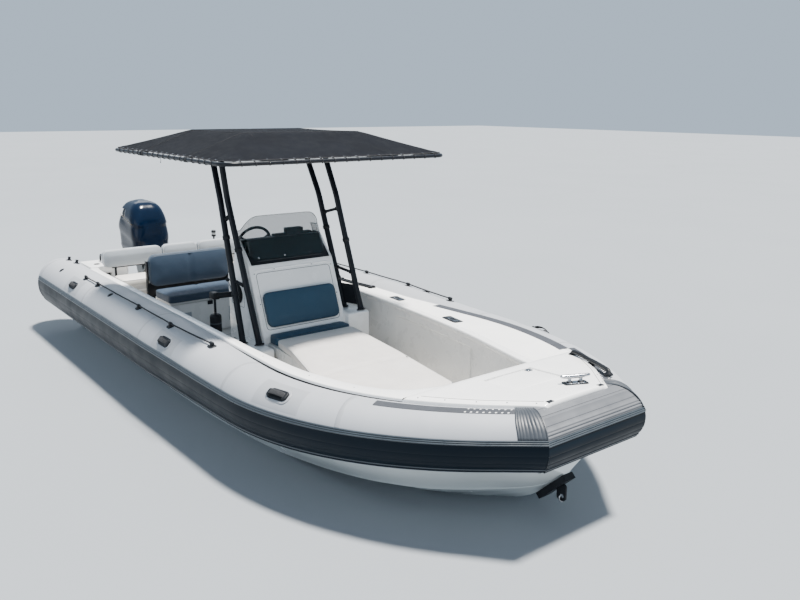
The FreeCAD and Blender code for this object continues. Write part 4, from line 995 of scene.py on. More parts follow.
# =====================================================================  console
PROF = [(2.740, 0.143), (3.405, 0.143), (3.405, 0.560), (3.170, 1.170), (2.965, 1.385), (2.935, 1.390), (2.840, 1.080), (2.740, 1.050)]
b = Build()
b.prism(PROF, -0.450, 0.450, 0.026, 0, 4)
b.box((2.721, -0.464, 0.141), (3.404, 0.464, 0.240), 0.012, 0)
b.box((3.096, 0.44, 0.141), (3.457, 0.689, 0.6515), 0.022, 0, 4)
b.box((3.096, -0.867, 0.141), (3.599, -0.44, 0.5045), 0.022, 0, 4)
fx = math.radians(-21.07)
front = Matrix.Translation((3.405, 0, 0.560)) @ Matrix.Rotation(fx, 4, "Y")


def panel(frame_m, u0, v0, u1, v1, w=0.010, h=0.004, r=0.03, mat=0):
    """Raised rounded line on a face: u along Y, v up the face."""
    loops = []
    for d, z in ((0, 0.0), (0.002, h), (w - 0.002, h), (w, 0.0)):
        pts = rounded(u0 + d, v0 + d, u1 - d, v1 - d, max(0.005, r - d), 5, 0.2)
        loops.append([frame_m @ Vector((z, p[0], p[1])) for p in pts])
    b.grid(loops, mat=mat, close_v=True)


panel(front, -0.425, 0.02, 0.425, 0.62, 0.012, 0.004, 0.05)
panel(front, -0.395, 0.055, 0.395, 0.585, 0.005, 0.0025, 0.035, 1)
up_face = Matrix.Translation((3.170, 0, 1.170)) @ Matrix.Rotation(-math.atan2(0.205, 0.215), 4, "Y")
panel(up_face, -0.42, 0.03, 0.42, 0.27, 0.010, 0.003, 0.03)
# aft face: locker doors with rims
aft = Matrix.Translation((2.740, 0, 0.0)) @ Matrix.Rotation(math.pi, 4, "Z")
for u0, u1 in ((-0.40, -0.03), (0.03, 0.40)):
    panel(aft, u0, 0.30, u1, 0.92, 0.012, 0.004, 0.03)
    panel(aft, u0 + 0.02, 0.32, u1 - 0.02, 0.90, 0.004, 0.003, 0.025, 1)
# sides: a framed hatch with a latch, a vent
for s in (1, -1):
    side = Matrix(((0, 1, 0, 0), (s, 0, 0, s * 0.450), (0, 0, 1, 0), (0, 0, 0, 1)))
    panel(side, 2.80, 0.75, 3.08, 1.02, 0.010, 0.003, 0.03)
    panel(side, 2.815, 0.765, 3.065, 1.005, 0.004, 0.002, 0.02, 1)
    b.box((2.925, s * 0.450 - 0.003, 0.985), (2.960, s * 0.450 + 0.006, 1.000), 0.003, 2)
    for k in range(4):
        b.box((2.82, s * 0.450 - 0.003, 0.36 + k * 0.02), (2.98, s * 0.450 + 0.004, 0.368 + k * 0.02), 0.002, 1)
# screws round the front panel
for y, v in ((-0.41, 0.30), (0.41, 0.30), (-0.41, 0.58), (0.41, 0.58), (-0.2, 0.605), (0.2, 0.605)):
    p = front @ Vector((0.002, y, v))
    b.lathe([(0, 0.006), (0.002, 0.0055), (0.003, 0.003), (0.0026, 0.0)], p, (math.cos(fx), 0, -math.sin(fx)), 12, 2)
b.out("console_moulding", ["gel", "caulk", "steel"], nodes=["console"], slot="gelcoat", angle=40)

# ---- windscreen: tinted, wrapped, with rounded upper corners and a bright edge
lower = dict(x=3.148, half=0.440, back=0.200, z=1.196, c=0.110)
upper = dict(x=3.028, half=0.405, back=0.240, z=1.600, c=0.130)


def screen_row(f, off=0.0):
    d = {k: lower[k] + (upper[k] - lower[k]) * f for k in lower}
    x, hf, bk, c = d["x"] - off, d["half"] - off, d["back"], d["c"]
    pts = []
    for t in lin(0, 1, 5):
        pts.append((x - bk + (bk - c) * t, -hf))
    for a in lin(0, 90, 9)[1:-1]:
        pts.append((x - c + c * math.sin(math.radians(a)), -hf + c - c * math.cos(math.radians(a))))
    for t in lin(0, 1, 13):
        pts.append((x, -hf + c + (2 * hf - 2 * c) * t))
    for a in lin(90, 0, 9)[1:-1]:
        pts.append((x - c + c * math.sin(math.radians(a)), hf - c + c * math.cos(math.radians(a))))
    for t in lin(1, 0, 5):
        pts.append((x - bk + (bk - c) * t, hf))
    return pts, d["z"]


def screen_top(j, n):
    # upper edge falls away with rounded corners and swept wings
    u = abs(2 * j / (n - 1) - 1)
    return 1.0 - 0.34 * smooth(0.27, 0.80, u) ** 1.6


rows0, _ = screen_row(0)
n = len(rows0)
outer, inner = [], []
for f in lin(0, 1, 12):
    ro, ri = [], []
    for j in range(n):
        ff = f * screen_top(j, n)
        for off, dst in ((0.0005, ro), (0.0060, ri)):
            pts, _ = screen_row(ff, off)
            z = lower["z"] + (upper["z"] - lower["z"]) * ff
            # the foot stays level at the lower height; foot below is zero and not used
            foot = 0.0
            dst.append(Vector((pts[j][0], pts[j][1], z)))
    outer.append(ro)
    inner.append(ri)
b = Build()
b.grid(outer)
b.grid(inner)
rim = outer[-1] + [r[-1] for r in reversed(outer[:-1])]
rim_o = [r[0] for r in outer] + outer[-1][1:] + [r[-1] for r in reversed(outer[:-1])]
rim_i = [r[0] for r in inner] + inner[-1][1:] + [r[-1] for r in reversed(inner[:-1])]
b.grid([rim_o, rim_i])
b.out("windscreen_tinted", ["glass"], nodes=["windscreen"], slot="screen", angle=50)
b = Build()
b.tube([(p + q) / 2 + Vector((0, 0, 0)) for p, q in zip(rim_o, rim_i)], 0.0034, 8, mat=0)
foot = [(p + q) / 2 for p, q in zip(outer[0], inner[0])]
b.tube([p + Vector((0, 0, 0.004)) for p in foot], 0.006, 8, mat=1)
for j in (6, 12, 17, 22, 28):
    if j < n:
        p = outer[1][j]
        q = inner[1][j]
        d = (p - q).normalized()
        b.lathe([(-0.002, 0.008), (0.002, 0.008), (0.004, 0.005), (0.0042, 0)], p, d, 14, 2)
b.out("windscreen_trim", ["piping_light", "caulk", "steel"], slot="black_plastic", angle=50)

# ---- dash: panel, displays, switches
b = Build()
da = -math.atan2(0.095, 0.310)
dm = Matrix.Translation((2.840, 0, 1.080)) @ Matrix.Rotation(math.atan2(0.095, 0.310), 4, "Y") @ Matrix.Translation((-2.840, 0, -1.080))
# the panel stands on the aft face of the dash
b.box((2.8245, -0.349, 1.106), (2.8355, 0.389, 1.379), 0.004, 0, 3, m=dm)


def dash_panel(y0, y1, z0, z1, mat_face, t=0.006, bez=0.010):
    b.box((2.8345 - 0.010 - t, y0, z0), (2.826, y1, z1), 0.004, 0, 3, m=dm)
    b.box((2.8345 - 0.0115 - t, y0 + bez, z0 + bez), (2.820, y1 - bez, z1 - bez), 0.002, mat_face, 2, m=dm)


dash_panel(0.06, 0.34, 1.20, 1.365, 1)
dash_panel(-0.06, 0.05, 1.25, 1.36, 1, 0.004)
for k in range(5):
    b.box((2.8185, 0.085 + k * 0.05, 1.125), (2.826, 0.115 + k * 0.05, 1.160), 0.003, 2, 2, m=dm)
for y in (-0.30, -0.09):
    b.lathe([(0, 0.030), (0.006, 0.030), (0.008, 0.026), (0.005, 0.023), (0.005, 0)], dm @ Vector((2.826, y, 1.150)), dm.to_3x3() @ Vector((-1, 0, 0)), 24, 0)
    b.lathe([(0.0052, 0.023), (0.0056, 0)], dm @ Vector((2.826, y, 1.150)), dm.to_3x3() @ Vector((-1, 0, 0)), 24, 1)
b.box((0.0006, -0.418, 0.004), (0.0066, 0.418, 0.286), 0.003, 0, 3, m=up_face)
b.box((2.930, 0.055, 1.386), (3.000, 0.235, 1.456), 0.010, 0, 3)
b.box((2.9285, 0.067, 1.400), (2.932, 0.223, 1.450), 0.002, 1, 2)
b.box((2.925, -0.075, 1.384), (2.985, 0.060, 1.408), 0.008, 0, 3)
b.box((2.925, 0.230, 1.384), (2.985, 0.335, 1.412), 0.008, 0, 3)
b.box((2.925, 0.345, 1.384), (2.975, 0.405, 1.398), 0.006, 0, 3)
b.out("dash_instruments", ["plastic", "display", "mark"], nodes=["dash_panel"], slot="black_plastic", angle=40)

# ---- wheel
b = Build()
wc, wa = Vector((2.7963, -0.195, 1.2958)), Vector((-0.9561, 0, 0.2930)).normalized()
wu = Vector((0, 1, 0))
wv = wa.cross(wu).normalized()
ring = []
segs = 72
rows = []
for k in range(segs):
    a = 2 * math.pi * k / segs
    d = wu * math.cos(a) + wv * math.sin(a)
    rr = 0.0148 - 0.0012 * (0.5 + 0.5 * math.cos(a * 12))
    rows.append([wc + d * (0.178 + rr * math.cos(q)) + wa * rr * math.sin(q) for q in [2 * math.pi * j / 14 for j in range(14)]])
b.grid(rows, close_v=True, close_u=True)
b.lathe([(-0.030, 0.030), (-0.012, 0.040), (0.004, 0.042), (0.012, 0.036), (0.016, 0.020), (0.017, 0.0)], wc, wa, 28, 0)
b.lathe([(0.0165, 0.016), (0.019, 0.014), (0.0195, 0)], wc, wa, 24, 1)
for k in range(3):
    a = math.radians(90 + 120 * k)
    d = wu * math.cos(a) + wv * math.sin(a)
    e = -wu * math.sin(a) + wv * math.cos(a)
    rows = []
    for t in lin(0.030, 0.172, 9):
        w = 0.020 - 0.008 * math.sin(math.pi * (t - 0.03) / 0.142) if t < 0.16 else 0.020
        dip = -0.010 * smooth(0.14, 0.04, t)
        rows.append([wc + d * t + e * (w * math.cos(q)) + wa * (dip + 0.0045 * math.sin(q)) for q in [2 * math.pi * j / 12 for j in range(12)]])
    b.grid(rows, close_v=True, mat=1)
b.out("steering_wheel_turned", ["plastic", "steel"], body="wheel", nodes=["steering_wheel"], slot="black_plastic", angle=50)

# ---- throttle unit
b = Build()
b.lathe([(0.0, 0.0), (0.0, 0.094), (0.006, 0.0945), (0.022, 0.090), (0.0275, 0.080), (0.0275, 0.0)], (2.940, -0.4525, 0.880), (0, -1, 0), 40, 0)
b.lathe([(0.026, 0.062), (0.029, 0.060), (0.029, 0.0)], (2.940, -0.4525, 0.880), (0, -1, 0), 36, 1)
b.tube([(2.940, -0.470, 0.880), (2.925, -0.520, 0.879), (2.900, -0.585, 0.876), (2.868, -0.648, 0.872)], 0.0265, 20, 0)
b.box((2.801, -0.679, 0.839), (2.904, -0.611, 0.904), 0.016, 0, 4)
b.tube([(2.915, -0.500, 0.895), (2.905, -0.508, 0.94), (2.880, -0.520, 1.005)], 0.008, 12, 1)
b.lathe([(-0.019, 0.0), (-0.017, 0.009), (-0.010, 0.0165), (0.0, 0.0195), (0.010, 0.0165), (0.017, 0.009), (0.019, 0.0)], (2.880, -0.520, 1.010), (0, 0.2, 1), 24, 0)
b.tube([(2.852, -0.645, 0.694), (2.852, -0.645, 0.850)], 0.0115, 14, 0)
b.lathe([(0.0, 0.0), (0.0, 0.040), (0.006, 0.050), (0.016, 0.0545), (0.110, 0.0545), (0.118, 0.0530), (0.126, 0.0545), (0.215, 0.0545), (0.230, 0.049), (0.240, 0.034), (0.243, 0.0)], (2.852, -0.645, 0.4565), (0, 0, 1), 36, 0)
for z in (0.52, 0.61):
    b.lathe([(-0.006, 0.0545), (-0.004, 0.0549), (0.004, 0.0549), (0.006, 0.0545)], (2.852, -0.645, z), (0, 0, 1), 36, 2)
b.out("throttle_unit", ["plastic", "steel", "band_grey"], nodes=["throttle_control"], slot="black_plastic", angle=40)

# =====================================================================  shelter: legs, roof frame, canopy
LEGS = {1: [((3.200, 0.562), (2.830, 0.520, 1.750), (2.600, 0.515)), ((3.395, 0.628), (3.060, 0.575, 1.750), (2.880, 0.560))],
        -1: [((3.300, 0.600), (2.840, 0.535, 1.745), (2.660, 0.515)), ((3.420, 0.500), (2.910, 0.500, 1.751), (2.850, 0.520))]}
LEG_Z0, LEG_Z1, LEG_R, LEG_BEND = {1: 0.664, -1: 0.517}, 2.124, 0.028, 0.620


def leg_path(foot, knee, top, s):
    a, k, c = Vector((foot[0], s * foot[1], LEG_Z0[s])), Vector((knee[0], s * knee[1], knee[2])), Vector((top[0], s * top[1], LEG_Z1 + 0.012))
    u, v = (a - k).normalized(), (c - k).normalized()
    ang = math.acos(u.dot(v))
    d = min(LEG_BEND / math.tan(ang / 2), (a - k).length * 0.9, (c - k).length * 0.9)
    p1, p2 = k + u * d, k + v * d
    pts = [a + (p1 - a) * t for t in lin(0, 1, 6)]
    pts += [p1 * (1 - t) ** 2 + k * 2 * t * (1 - t) + p2 * t * t for t in lin(0, 1, 12)[1:]]
    pts += [p2 + (c - p2) * t for t in lin(0, 1, 4)[1:]]
    return pts


def at_z(path, z):
    for a, c in zip(path, path[1:]):
        if (a.z - z) * (c.z - z) <= 0:
            t = (z - a.z) / (c.z - a.z)
            return a + (c - a) * t
    return path[-1]


def clamp(b, path, z, r=0.0345, h=0.036, mat=1):
    p, q = at_z(path, z - h / 2), at_z(path, z + h / 2)
    d = (q - p).normalized()
    b.lathe([(0, 0.0285), (0.0, r - 0.003), (0.003, r), (h - 0.003, r), (h, r - 0.003), (h, 0.0285)], p, d, 28, mat)
    return (p + q) / 2


for s, node in ((1, "shelter_legs_port"), (-1, "shelter_legs_starboard")):
    b = Build()
    paths = [leg_path(*L, s) for L in LEGS[s]]
    for p in paths:
        b.tube(p, LEG_R - 0.0002, 28, 0)
        foot = p[0]
        b.lathe([(-0.0095, 0.0455), (-0.004, 0.0455), (-0.001, 0.044), (0.0, 0.034), (0.006, 0.0305), (0.030, 0.0292), (0.032, 0.028)], foot, (p[1] - p[0]).normalized(), 32, 0)
        for k in range(4):
            a = math.radians(45 + 90 * k)
            b.lathe([(0, 0.0055), (0.002, 0.0052), (0.003, 0.003), (0.003, 0)], foot + Vector((0.037 * math.cos(a), 0.037 * math.sin(a), -0.0035)), (0, 0, 1), 12, 2)
    for z0, z1 in ((1.045, 1.005), (1.560, 1.620)):
        a, c = at_z(paths[0], z0), at_z(paths[1], z1)
        b.tube([a, c], 0.0148, 16, 0)
        for q, other, path, zz in ((a, c, paths[0], z0), (c, a, paths[1], z1)):
            d = (other - q).normalized()
            b.lathe([(0.027, 0.0195), (0.029, 0.021), (0.039, 0.021), (0.041, 0.0195), (0.041, 0.0148)], q, d, 20, 1)
    # round clamps and rod rings on the legs
    for path, zz in ((paths[0], 0.93), (paths[1], 1.32), (paths[0], 1.42)):
        m = clamp(b, path, zz)
    if s > 0:
        a, c = at_z(paths[0], 0.70), at_z(paths[1], 0.70)
        d, e = at_z(paths[0], 0.89), at_z(paths[1], 0.89)
        nn = (c - a).cross(d - a).normalized() * 0.0048
        ins = lambda p, q, k: p + (q - p) * k
        quad = [ins(a, c, 0.06), ins(c, a, 0.06), ins(e, d, 0.06), ins(d, e, 0.06)]
        b.add([p + nn for p in quad] + [p - nn for p in quad], [(0, 1, 2, 3), (7, 6, 5, 4), (0, 4, 5, 1), (1, 5, 6, 2), (2, 6, 7, 3), (3, 7, 4, 0)], 0)
    b.out(node + "_tubes", ["black", "plastic", "steel"], nodes=[node], slot="frame_black", angle=45)

# roof frame
b = Build()
HX0, HX1, HY, HZ, HR = 1.686, 4.089, 1.080, 2.160, 0.110
hoop = [Vector((x, y, HZ)) for x, y in rounded(HX0, -HY, HX1, HY, HR, 7, 0.3)]
b.tube(hoop, 0.0168, 14, 0, closed=True)
for s in (1, -1):
    b.tube([(HX0 + 0.01, s * 0.537, HZ), (2.43, s * 0.537, HZ), (3.40, s * 0.537, HZ), (HX1 - 0.01, s * 0.537, HZ)], 0.0188, 16, 0)
    for x in (2.60, 2.88):
        b.lathe([(-0.03, 0.0225), (-0.028, 0.0245), (0.028, 0.0245), (0.03, 0.0225)], (x, s * 0.537, HZ), (1, 0, 0), 22, 1)
BZ = 2.342
for x in (2.43, 3.40):
    pts = []
    for y in lin(-1.08, 1.08, 37):
        ay = abs(y)
        f = (1.08 - ay) / 0.52
        z = HZ + (BZ - HZ) * min(1.0, f)
        soft = 0.5 * (smooth(1.20, 0.40, ay) + min(1.0, f))
        pts.append(Vector((x, y, min(z, HZ + (BZ - HZ) * (0.35 * soft + 0.65 * min(1, f))))))
    b.tube(pts, 0.0138, 12, 0)
    for s in (1, -1):
        b.lathe([(-0.022, 0.0205), (-0.020, 0.0222), (0.020, 0.0222), (0.022, 0.0205)], (x, s * 1.080, HZ), (1, 0, 0), 20, 1)
b.out("shelter_roof_frame_tubes", ["black", "plastic"], nodes=["shelter_roof_frame"], slot="frame_black", angle=45)

# ---- canopy: one cloth, stretched over the bows and laced to the hoop
CX0, CX1, CY = 1.702, 4.073, 1.064


def roof_z(x, y):
    """Taut cloth: ridges over the two bows, hipped ends, small hollows between."""
    lo = 2.181
    fy = min(1.0, (CY - abs(y)) / (CY - 0.56))
    fy = fy if fy < 1 else 1.0
    if x < 2.36:
        fx = (x - CX0) / (2.36 - CX0)
    elif x > 3.47:
        fx = (CX1 - x) / (CX1 - 3.47)
    else:
        fx = 1.0
    fx = max(0.0, min(1.0, fx))
    # softened minimum
    k = 0.10
    h = max(k - abs(fx - fy), 0.0) / k
    f = min(fx, fy) - h * h * k * 0.25
    f = 1 - (1 - f) if f < 0.97 else f
    f = f - 0.02 * smooth(0.86, 1.0, f)
    z = lo + 0.188 * f
    sag = 0.006 * math.sin(math.pi * min(1, max(0, (x - 2.43) / 0.97))) * smooth(0.0, 0.6, fy) if 2.43 < x < 3.40 else 0
    pan = 0.004 * math.sin(math.pi * fx) * (1 if fx < 1 else 0)
    z -= max(0.0, sag) + pan
    # pulls at the lacing eyes
    e = min(x - CX0, CX1 - x, CY - abs(y))
    if e < 0.16:
        run = x if (CY - abs(y)) < min(x - CX0, CX1 - x) else y
        z += 0.0022 * math.cos(run * 2 * math.pi / 0.118) * (1 - e / 0.16)
    # fine creases running in from the corners
    for sx, cx in ((1, CX0), (-1, CX1)):
        for sy in (1, -1):
            dx, dy = (x - cx) * sx, CY - sy * y
            if dx > 0 and dy > 0:
                rad = math.hypot(dx, dy)
                if rad < 0.7:
                    z += 0.0016 * math.sin(math.atan2(dy, dx) * 14) * math.exp(-rad / 0.30)
    return z


def edge_in(x, y):
    """Returns x and y unchanged; the hem's scallops and rounded corners are shaped in the grid below."""
    return x, y


NX, NY = 121, 109
rows = []
for i in range(NX):
    u = i / (NX - 1)
    row = []
    for j in range(NY):
        v = j / (NY - 1)
        x = CX0 + (CX1 - CX0) * u
        y = -CY + 2 * CY * v
        # rounded corners: squeeze the plan near them
        ex, ey = min(x - CX0, CX1 - x), CY - abs(y)
        rc = 0.085
        if ex < rc and ey < rc:
            cx = CX0 + rc if x < (CX0 + CX1) / 2 else CX1 - rc
            cy = (CY - rc) * (1 if y > 0 else -1)
            px, py = (x - cx) / rc, (y - cy) / rc
            qx = px * math.sqrt(max(0, 1 - py * py / 2))
            qy = py * math.sqrt(max(0, 1 - px * px / 2))
            x, y = cx + qx * rc, cy + qy * rc
        # scallops
        ex, ey = min(x - CX0, CX1 - x), CY - abs(y)
        sc = 0.007
        if ey < 0.05 and ex > rc:
            y -= math.copysign(sc * (0.5 - 0.5 * math.cos(x * 2 * math.pi / 0.118)) * (1 - ey / 0.05), y)
        if ex < 0.05 and ey > rc:
            x += (1 if x < 2.8 else -1) * sc * (0.5 - 0.5 * math.cos(y * 2 * math.pi / 0.118)) * (1 - ex / 0.05)
        row.append(Vector((x, y, roof_z(x, y))))
    rows.append(row)
b = Build()
b.grid(rows)
under = [[Vector((p.x, p.y, p.z - 0.0028)) for p in r] for r in rows]
b.grid(under)
ring_t = [r for r in rows[0]] + [r[-1] for r in rows[1:]] + list(reversed(rows[-1][:-1])) + [r[0] for r in reversed(rows[1:-1])]
ring_b = [r for r in under[0]] + [r[-1] for r in under[1:]] + list(reversed(under[-1][:-1])) + [r[0] for r in reversed(under[1:-1])]
b.grid([ring_t, ring_b], close_v=True)
cloth = b.out("canopy_cloth", ["canvas"], nodes=["canopy"], slot="canvas_black", angle=40)
# hem tape, lacing eyes and the cord round the hoop
b = Build()
hem = [p + Vector((0, 0, 0.0005)) for p in ring_t]
b.tube(hem, 0.0042, 6, mat=0, closed=True)
for s in (1, -1):
    for x in (2.43, 3.40):
        pts = [Vector((x + d, s * y, roof_z(x, y) + 0.0012)) for d in (0,) for y in lin(0.02, 1.05, 26)]
        b.tube(pts, 0.0018, 5, mat=0)
for y in (-0.56, 0.56):
    b.tube([Vector((x, y, roof_z(x, y) + 0.0010)) for x in lin(2.2, 3.6, 30)], 0.0015, 5, mat=0)
per = 0.118
eyes = []
for k in range(int((CX1 - CX0 - 0.20) / per) + 1):
    x = math.ceil((CX0 + 0.09) / per) * per + k * per
    if x < CX1 - 0.09:
        for s in (1, -1):
            eyes.append((Vector((x, s * (CY - 0.012), roof_z(x, CY - 0.012) + 0.001)), Vector((x, s * HY, HZ)), Vector((0, s, 0))))
for k in range(-9, 10):
    y = k * per
    if abs(y) < CY - 0.08:
        for x, hx, d in ((CX0 + 0.012, HX0, -1), (CX1 - 0.012, HX1, 1)):
            eyes.append((Vector((x, y, roof_z(x, y) + 0.001)), Vector((hx, y, HZ)), Vector((d, 0, 0))))
for e, h, d in eyes:
    b.lathe([(-0.0012, 0.0075), (0.0012, 0.0075), (0.002, 0.0055), (0.0008, 0.0032)], e, (0, 0, 1), 12, 2)
    # a loop of cord from the eye round the hoop and back
    side = Vector((0, 0, 1)).cross(d) * 0.010
    pts = [e + Vector((0, 0, 0.001)) - side * 0.1]
    for a in lin(100, -150, 9):
        ar = math.radians(a)
        k = (100 - a) / 250
        pts.append(h + d * (0.0195 * math.cos(ar)) + Vector((0, 0, 0.0195 * math.sin(ar))) + side * (k - 0.3) * 1.6)
    pts.append(e - d * 0.006 + Vector((0, 0, -0.006)) + side * 0.5)
    b.tube(pts, 0.0026, 6, mat=1)
lacing = b.out("canopy_lacing", ["canvas_tape", "lace", "steel"], slot="canvas_black", angle=50)
# hanging end of the lacing cord
b = Build()
b.tube([Vector((HX0 - 0.004, -0.62, HZ - 0.018)) + Vector((0.002 * math.sin(k * 1.1), 0.004 * math.sin(k * 0.8), -0.0105 * k)) for k in range(12)], 0.0026, 6, mat=0)
b.tube([Vector((HX0 - 0.004, -0.62, HZ - 0.135)) + Vector((0.002 * math.sin(k), 0, -0.006 * k)) for k in range(3)], 0.0046, 8, mat=0)
tail = b.out("canopy_lace_tail", ["lace"], slot="canvas_black", angle=50)

# =====================================================================  helm seat and stern bench
b = Build()
# the seat base in the darkened gelcoat, painted shade
b.box((1.146, -0.579, 0.143), (1.594, 0.319, 0.5045), 0.020, 0, 4)
aftf = Matrix(((0, 0, -1, 1.146), (1, 0, 0, 0), (0, 1, 0, 0), (0, 0, 0, 1)))
for u0, u1 in ((-0.52, -0.15), (-0.11, 0.26)):
    pts = rounded(u0, 0.20, u1, 0.44, 0.03, 5, 0.3)
    lo_ = [[Vector((1.146 - h, p[0], p[1])) for p in rounded(u0 + d, 0.20 + d, u1 - d, 0.44 - d, 0.03, 5, 0.3)] for d, h in ((0, 0.0), (0.003, 0.004), (0.009, 0.004), (0.012, 0.0))]
    b.grid(lo_, close_v=True)
    b.box((1.136, (u0 + u1) / 2 - 0.02, 0.405), (1.148, (u0 + u1) / 2 + 0.02, 0.425), 0.004, 1)
# these front panels use the backrest vinyl with its painted shade
for y in (-0.45, 0.19):
    b.box((1.5945, y - 0.10, 0.24), (1.597, y + 0.10, 0.40), 0.001, 2)
b.box((1.594, -0.160, 0.455), (1.606, -0.100, 0.498), 0.004, 1)
for s, y in ((1, 0.319), (-1, -0.579)):
    lo_ = [[Vector((p[0], y + s * h, p[1])) for p in rounded(1.20 + d, 0.20 + d, 1.54 - d, 0.44 - d, 0.03, 5, 0.3)] for d, h in ((0, 0.0), (0.003, 0.003), (0.007, 0.003), (0.010, 0.0))]
    b.grid(lo_, close_v=True)
b.out("helm_seat_base_moulding", ["gel_in", "plastic", "vinyl_back_painted_shade"], nodes=["helm_seat_base"], slot="gelcoat", angle=40)
b = Build()
# the lid panel in the darkened gelcoat, painted shade
b.box((1.196, -0.589, 0.5115), (1.614, 0.329, 0.5285), 0.006, 0, 3)
b.box((1.6135, -0.150, 0.507), (1.620, -0.110, 0.527), 0.003, 1)
for y in (-0.42, 0.16):
    b.tube([(1.201, y - 0.03, 0.520), (1.201, y + 0.03, 0.520)], 0.006, 12, 1)
b.out("helm_seat_lid_panel", ["gel_in", "steel"], body="helm_lid", nodes=["helm_seat_lid"], slot="gelcoat", angle=40)
# the frame and other CAD parts keep their shapes: each gets a material, smooth shading and, for some, a bevel
lo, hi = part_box("helm_seat_frame")
# the stern bench base takes the darkened gelcoat, painted shade
for n, m in (("helm_seat_frame", "black"), ("stern_rails", "black"), ("stern_bench_base", "gel_in"), ("engine_clamp", "engine_dark"), ("engine_swivel", "engine_dark"), ("engine_midsection", "engine_dark"),
             ("engine_lower_unit", "engine_dark"), ("propeller", "prop"), ("towing_eyes", "plastic"), ("bow_grab_rail", "plastic"), ("bow_cleat", "steel"), ("stern_light", "plastic"),
             ("tube_handles", "plastic"), ("grab_lines", "rope")):
    o = NODE[n]
    o.data.materials.clear()
    o.data.materials.append(M[m])
    for p in o.data.polygons:
        p.use_smooth = True
    if n in ("stern_bench_base", "towing_eyes", "engine_midsection", "engine_lower_unit", "engine_clamp", "engine_swivel", "tube_handles", "helm_seat_frame"):
        bv = o.modifiers.new("edge", "BEVEL")
        bv.width = 0.006 if n != "stern_bench_base" else 0.010
        bv.segments = 3
        bv.limit_method = "ANGLE"
        bv.angle_limit = math.radians(40)

# bench front: bin frames
b = Build()
for y0, y1 in ((-0.735, -0.275), (-0.235, 0.235), (0.275, 0.735)):
    lo_ = [[Vector((0.820 + h, p[0], p[1])) for p in rounded(y0 + d, 0.185 + d, y1 - d, 0.545 - d, 0.03, 5, 0.3)] for d, h in ((0, 0.0), (0.003, 0.004), (0.012, 0.004), (0.015, 0.0))]
    b.grid(lo_, close_v=True)
for y in (-0.5, 0.5):
    for z in (0.16, 0.575):
        b.lathe([(0, 0.006), (0.002, 0.0055), (0.003, 0.003), (0.0026, 0.0)], (0.820, y, z), (1, 0, 0), 12, 1)
b.out("bench_front_trim", ["gel", "steel"], slot="gelcoat", angle=40)

# stern light: base, stalk, lens
b = Build()
b.lathe([(0, 0.0), (0, 0.030), (0.010, 0.030), (0.018, 0.018), (0.028, 0.0125), (0.150, 0.0115), (0.154, 0.026), (0.162, 0.0295), (0.178, 0.0295)], (0.060, 0.655, 0.774), (0, 0, 1), 28, 0)
b.lathe([(0.178, 0.025), (0.208, 0.0265), (0.216, 0.025), (0.216, 0.0)], (0.060, 0.655, 0.774), (0, 0, 1), 28, 1)
b.lathe([(0.206, 0.0295), (0.226, 0.0295), (0.2355, 0.020), (0.236, 0.0)], (0.060, 0.655, 0.774), (0, 0, 1), 28, 0)
b.out("stern_light_turned", ["plastic", "lamp"], nodes=["stern_light"], slot="lamp", angle=40)

# =====================================================================  engine cowl
DZ = -0.080
COWL = [(0.700, -0.875, -0.340, 0.196, 0.085), (0.728, -0.885, -0.330, 0.200, 0.090), (0.790, -0.925, -0.324, 0.220, 0.100), (0.850, -0.965, -0.318, 0.236, 0.105), (0.985, -0.975, -0.326, 0.240, 0.110),
        (1.120, -0.985, -0.335, 0.243, 0.115), (1.230, -0.964, -0.360, 0.232, 0.118), (1.310, -0.940, -0.392, 0.214, 0.118), (1.370, -0.908, -0.430, 0.187, 0.108), (1.410, -0.872, -0.470, 0.153, 0.092),
        (1.435, -0.830, -0.515, 0.113, 0.072), (1.449, -0.780, -0.565, 0.068, 0.046), (1.4545, -0.720, -0.625, 0.024, 0.018)]


def cowl_ring(z, xa, xf, w, c, n=6):
    pts = []
    k = c * 0.98
    for cx, cy, a in ((xf - k, -w + k, -90), (xf - k, w - k, 0), (xa + k, w - k, 90), (xa + k, -w + k, 180)):
        pts += arc_pts(cx, cy, k, a, a + 90, n)
    res = []
    for i, p in enumerate(pts):
        q = pts[(i + 1) % len(pts)]
        m = 8 if i % (len(pts) // 4) == len(pts) // 4 - 1 else 1
        res += [Vector((p[0] + (q[0] - p[0]) * j / m, p[1] + (q[1] - p[1]) * j / m, z)) for j in range(m)]
    return res


def cowl_at(z):
    return [soft_ramp(COWL, z, c, w=0.05 if z < 1.33 else 0.012) for c in (1, 2, 3, 4)]


b = Build()
rings = []
zs = [0.728, 0.732, 0.740] + lin(0.760, 1.33, 31) + lin(1.345, 1.43, 10) + [1.436, 1.441, 1.446, 1.449, 1.4515, 1.4535, 1.4545]
for z in zs:
    xa, xf, w, c = cowl_at(z)
    ring = cowl_ring(z + DZ, xa, xf, w, c)
    new = []
    for p in ring:
        d = 0.0
        side = smooth(0.10, 0.16, abs(p.y))
        # shoulder crease rising aft, a hollow flank under it, and the split line of the lid
        crease = 1.215 + (p.x + 0.65) * -0.22
        d += 0.012 * side * smooth(crease - 0.16, crease - 0.02, z) * smooth(crease + 0.012, crease - 0.004, z) * -1.0
        d += -0.010 * side * smooth(0.86, 0.90, z) * smooth(crease - 0.18, crease - 0.24, z)
        d += -0.006 * math.exp(-((z - 0.842) / 0.006) ** 2)
        # air intake in the upper aft quarter
        xi = smooth(-0.70, -0.74, p.x) * smooth(-0.955, -0.93, p.x)
        zi = smooth(1.235, 1.25, z) * smooth(1.345, 1.33, z)
        d += -0.026 * side * xi * zi
        o = Vector((p.x + 0.655, p.y, 0))
        o.normalize()
        q = p + o * d
        new.append(q)
    rings.append(new)
mats = []
w = len(rings[0])
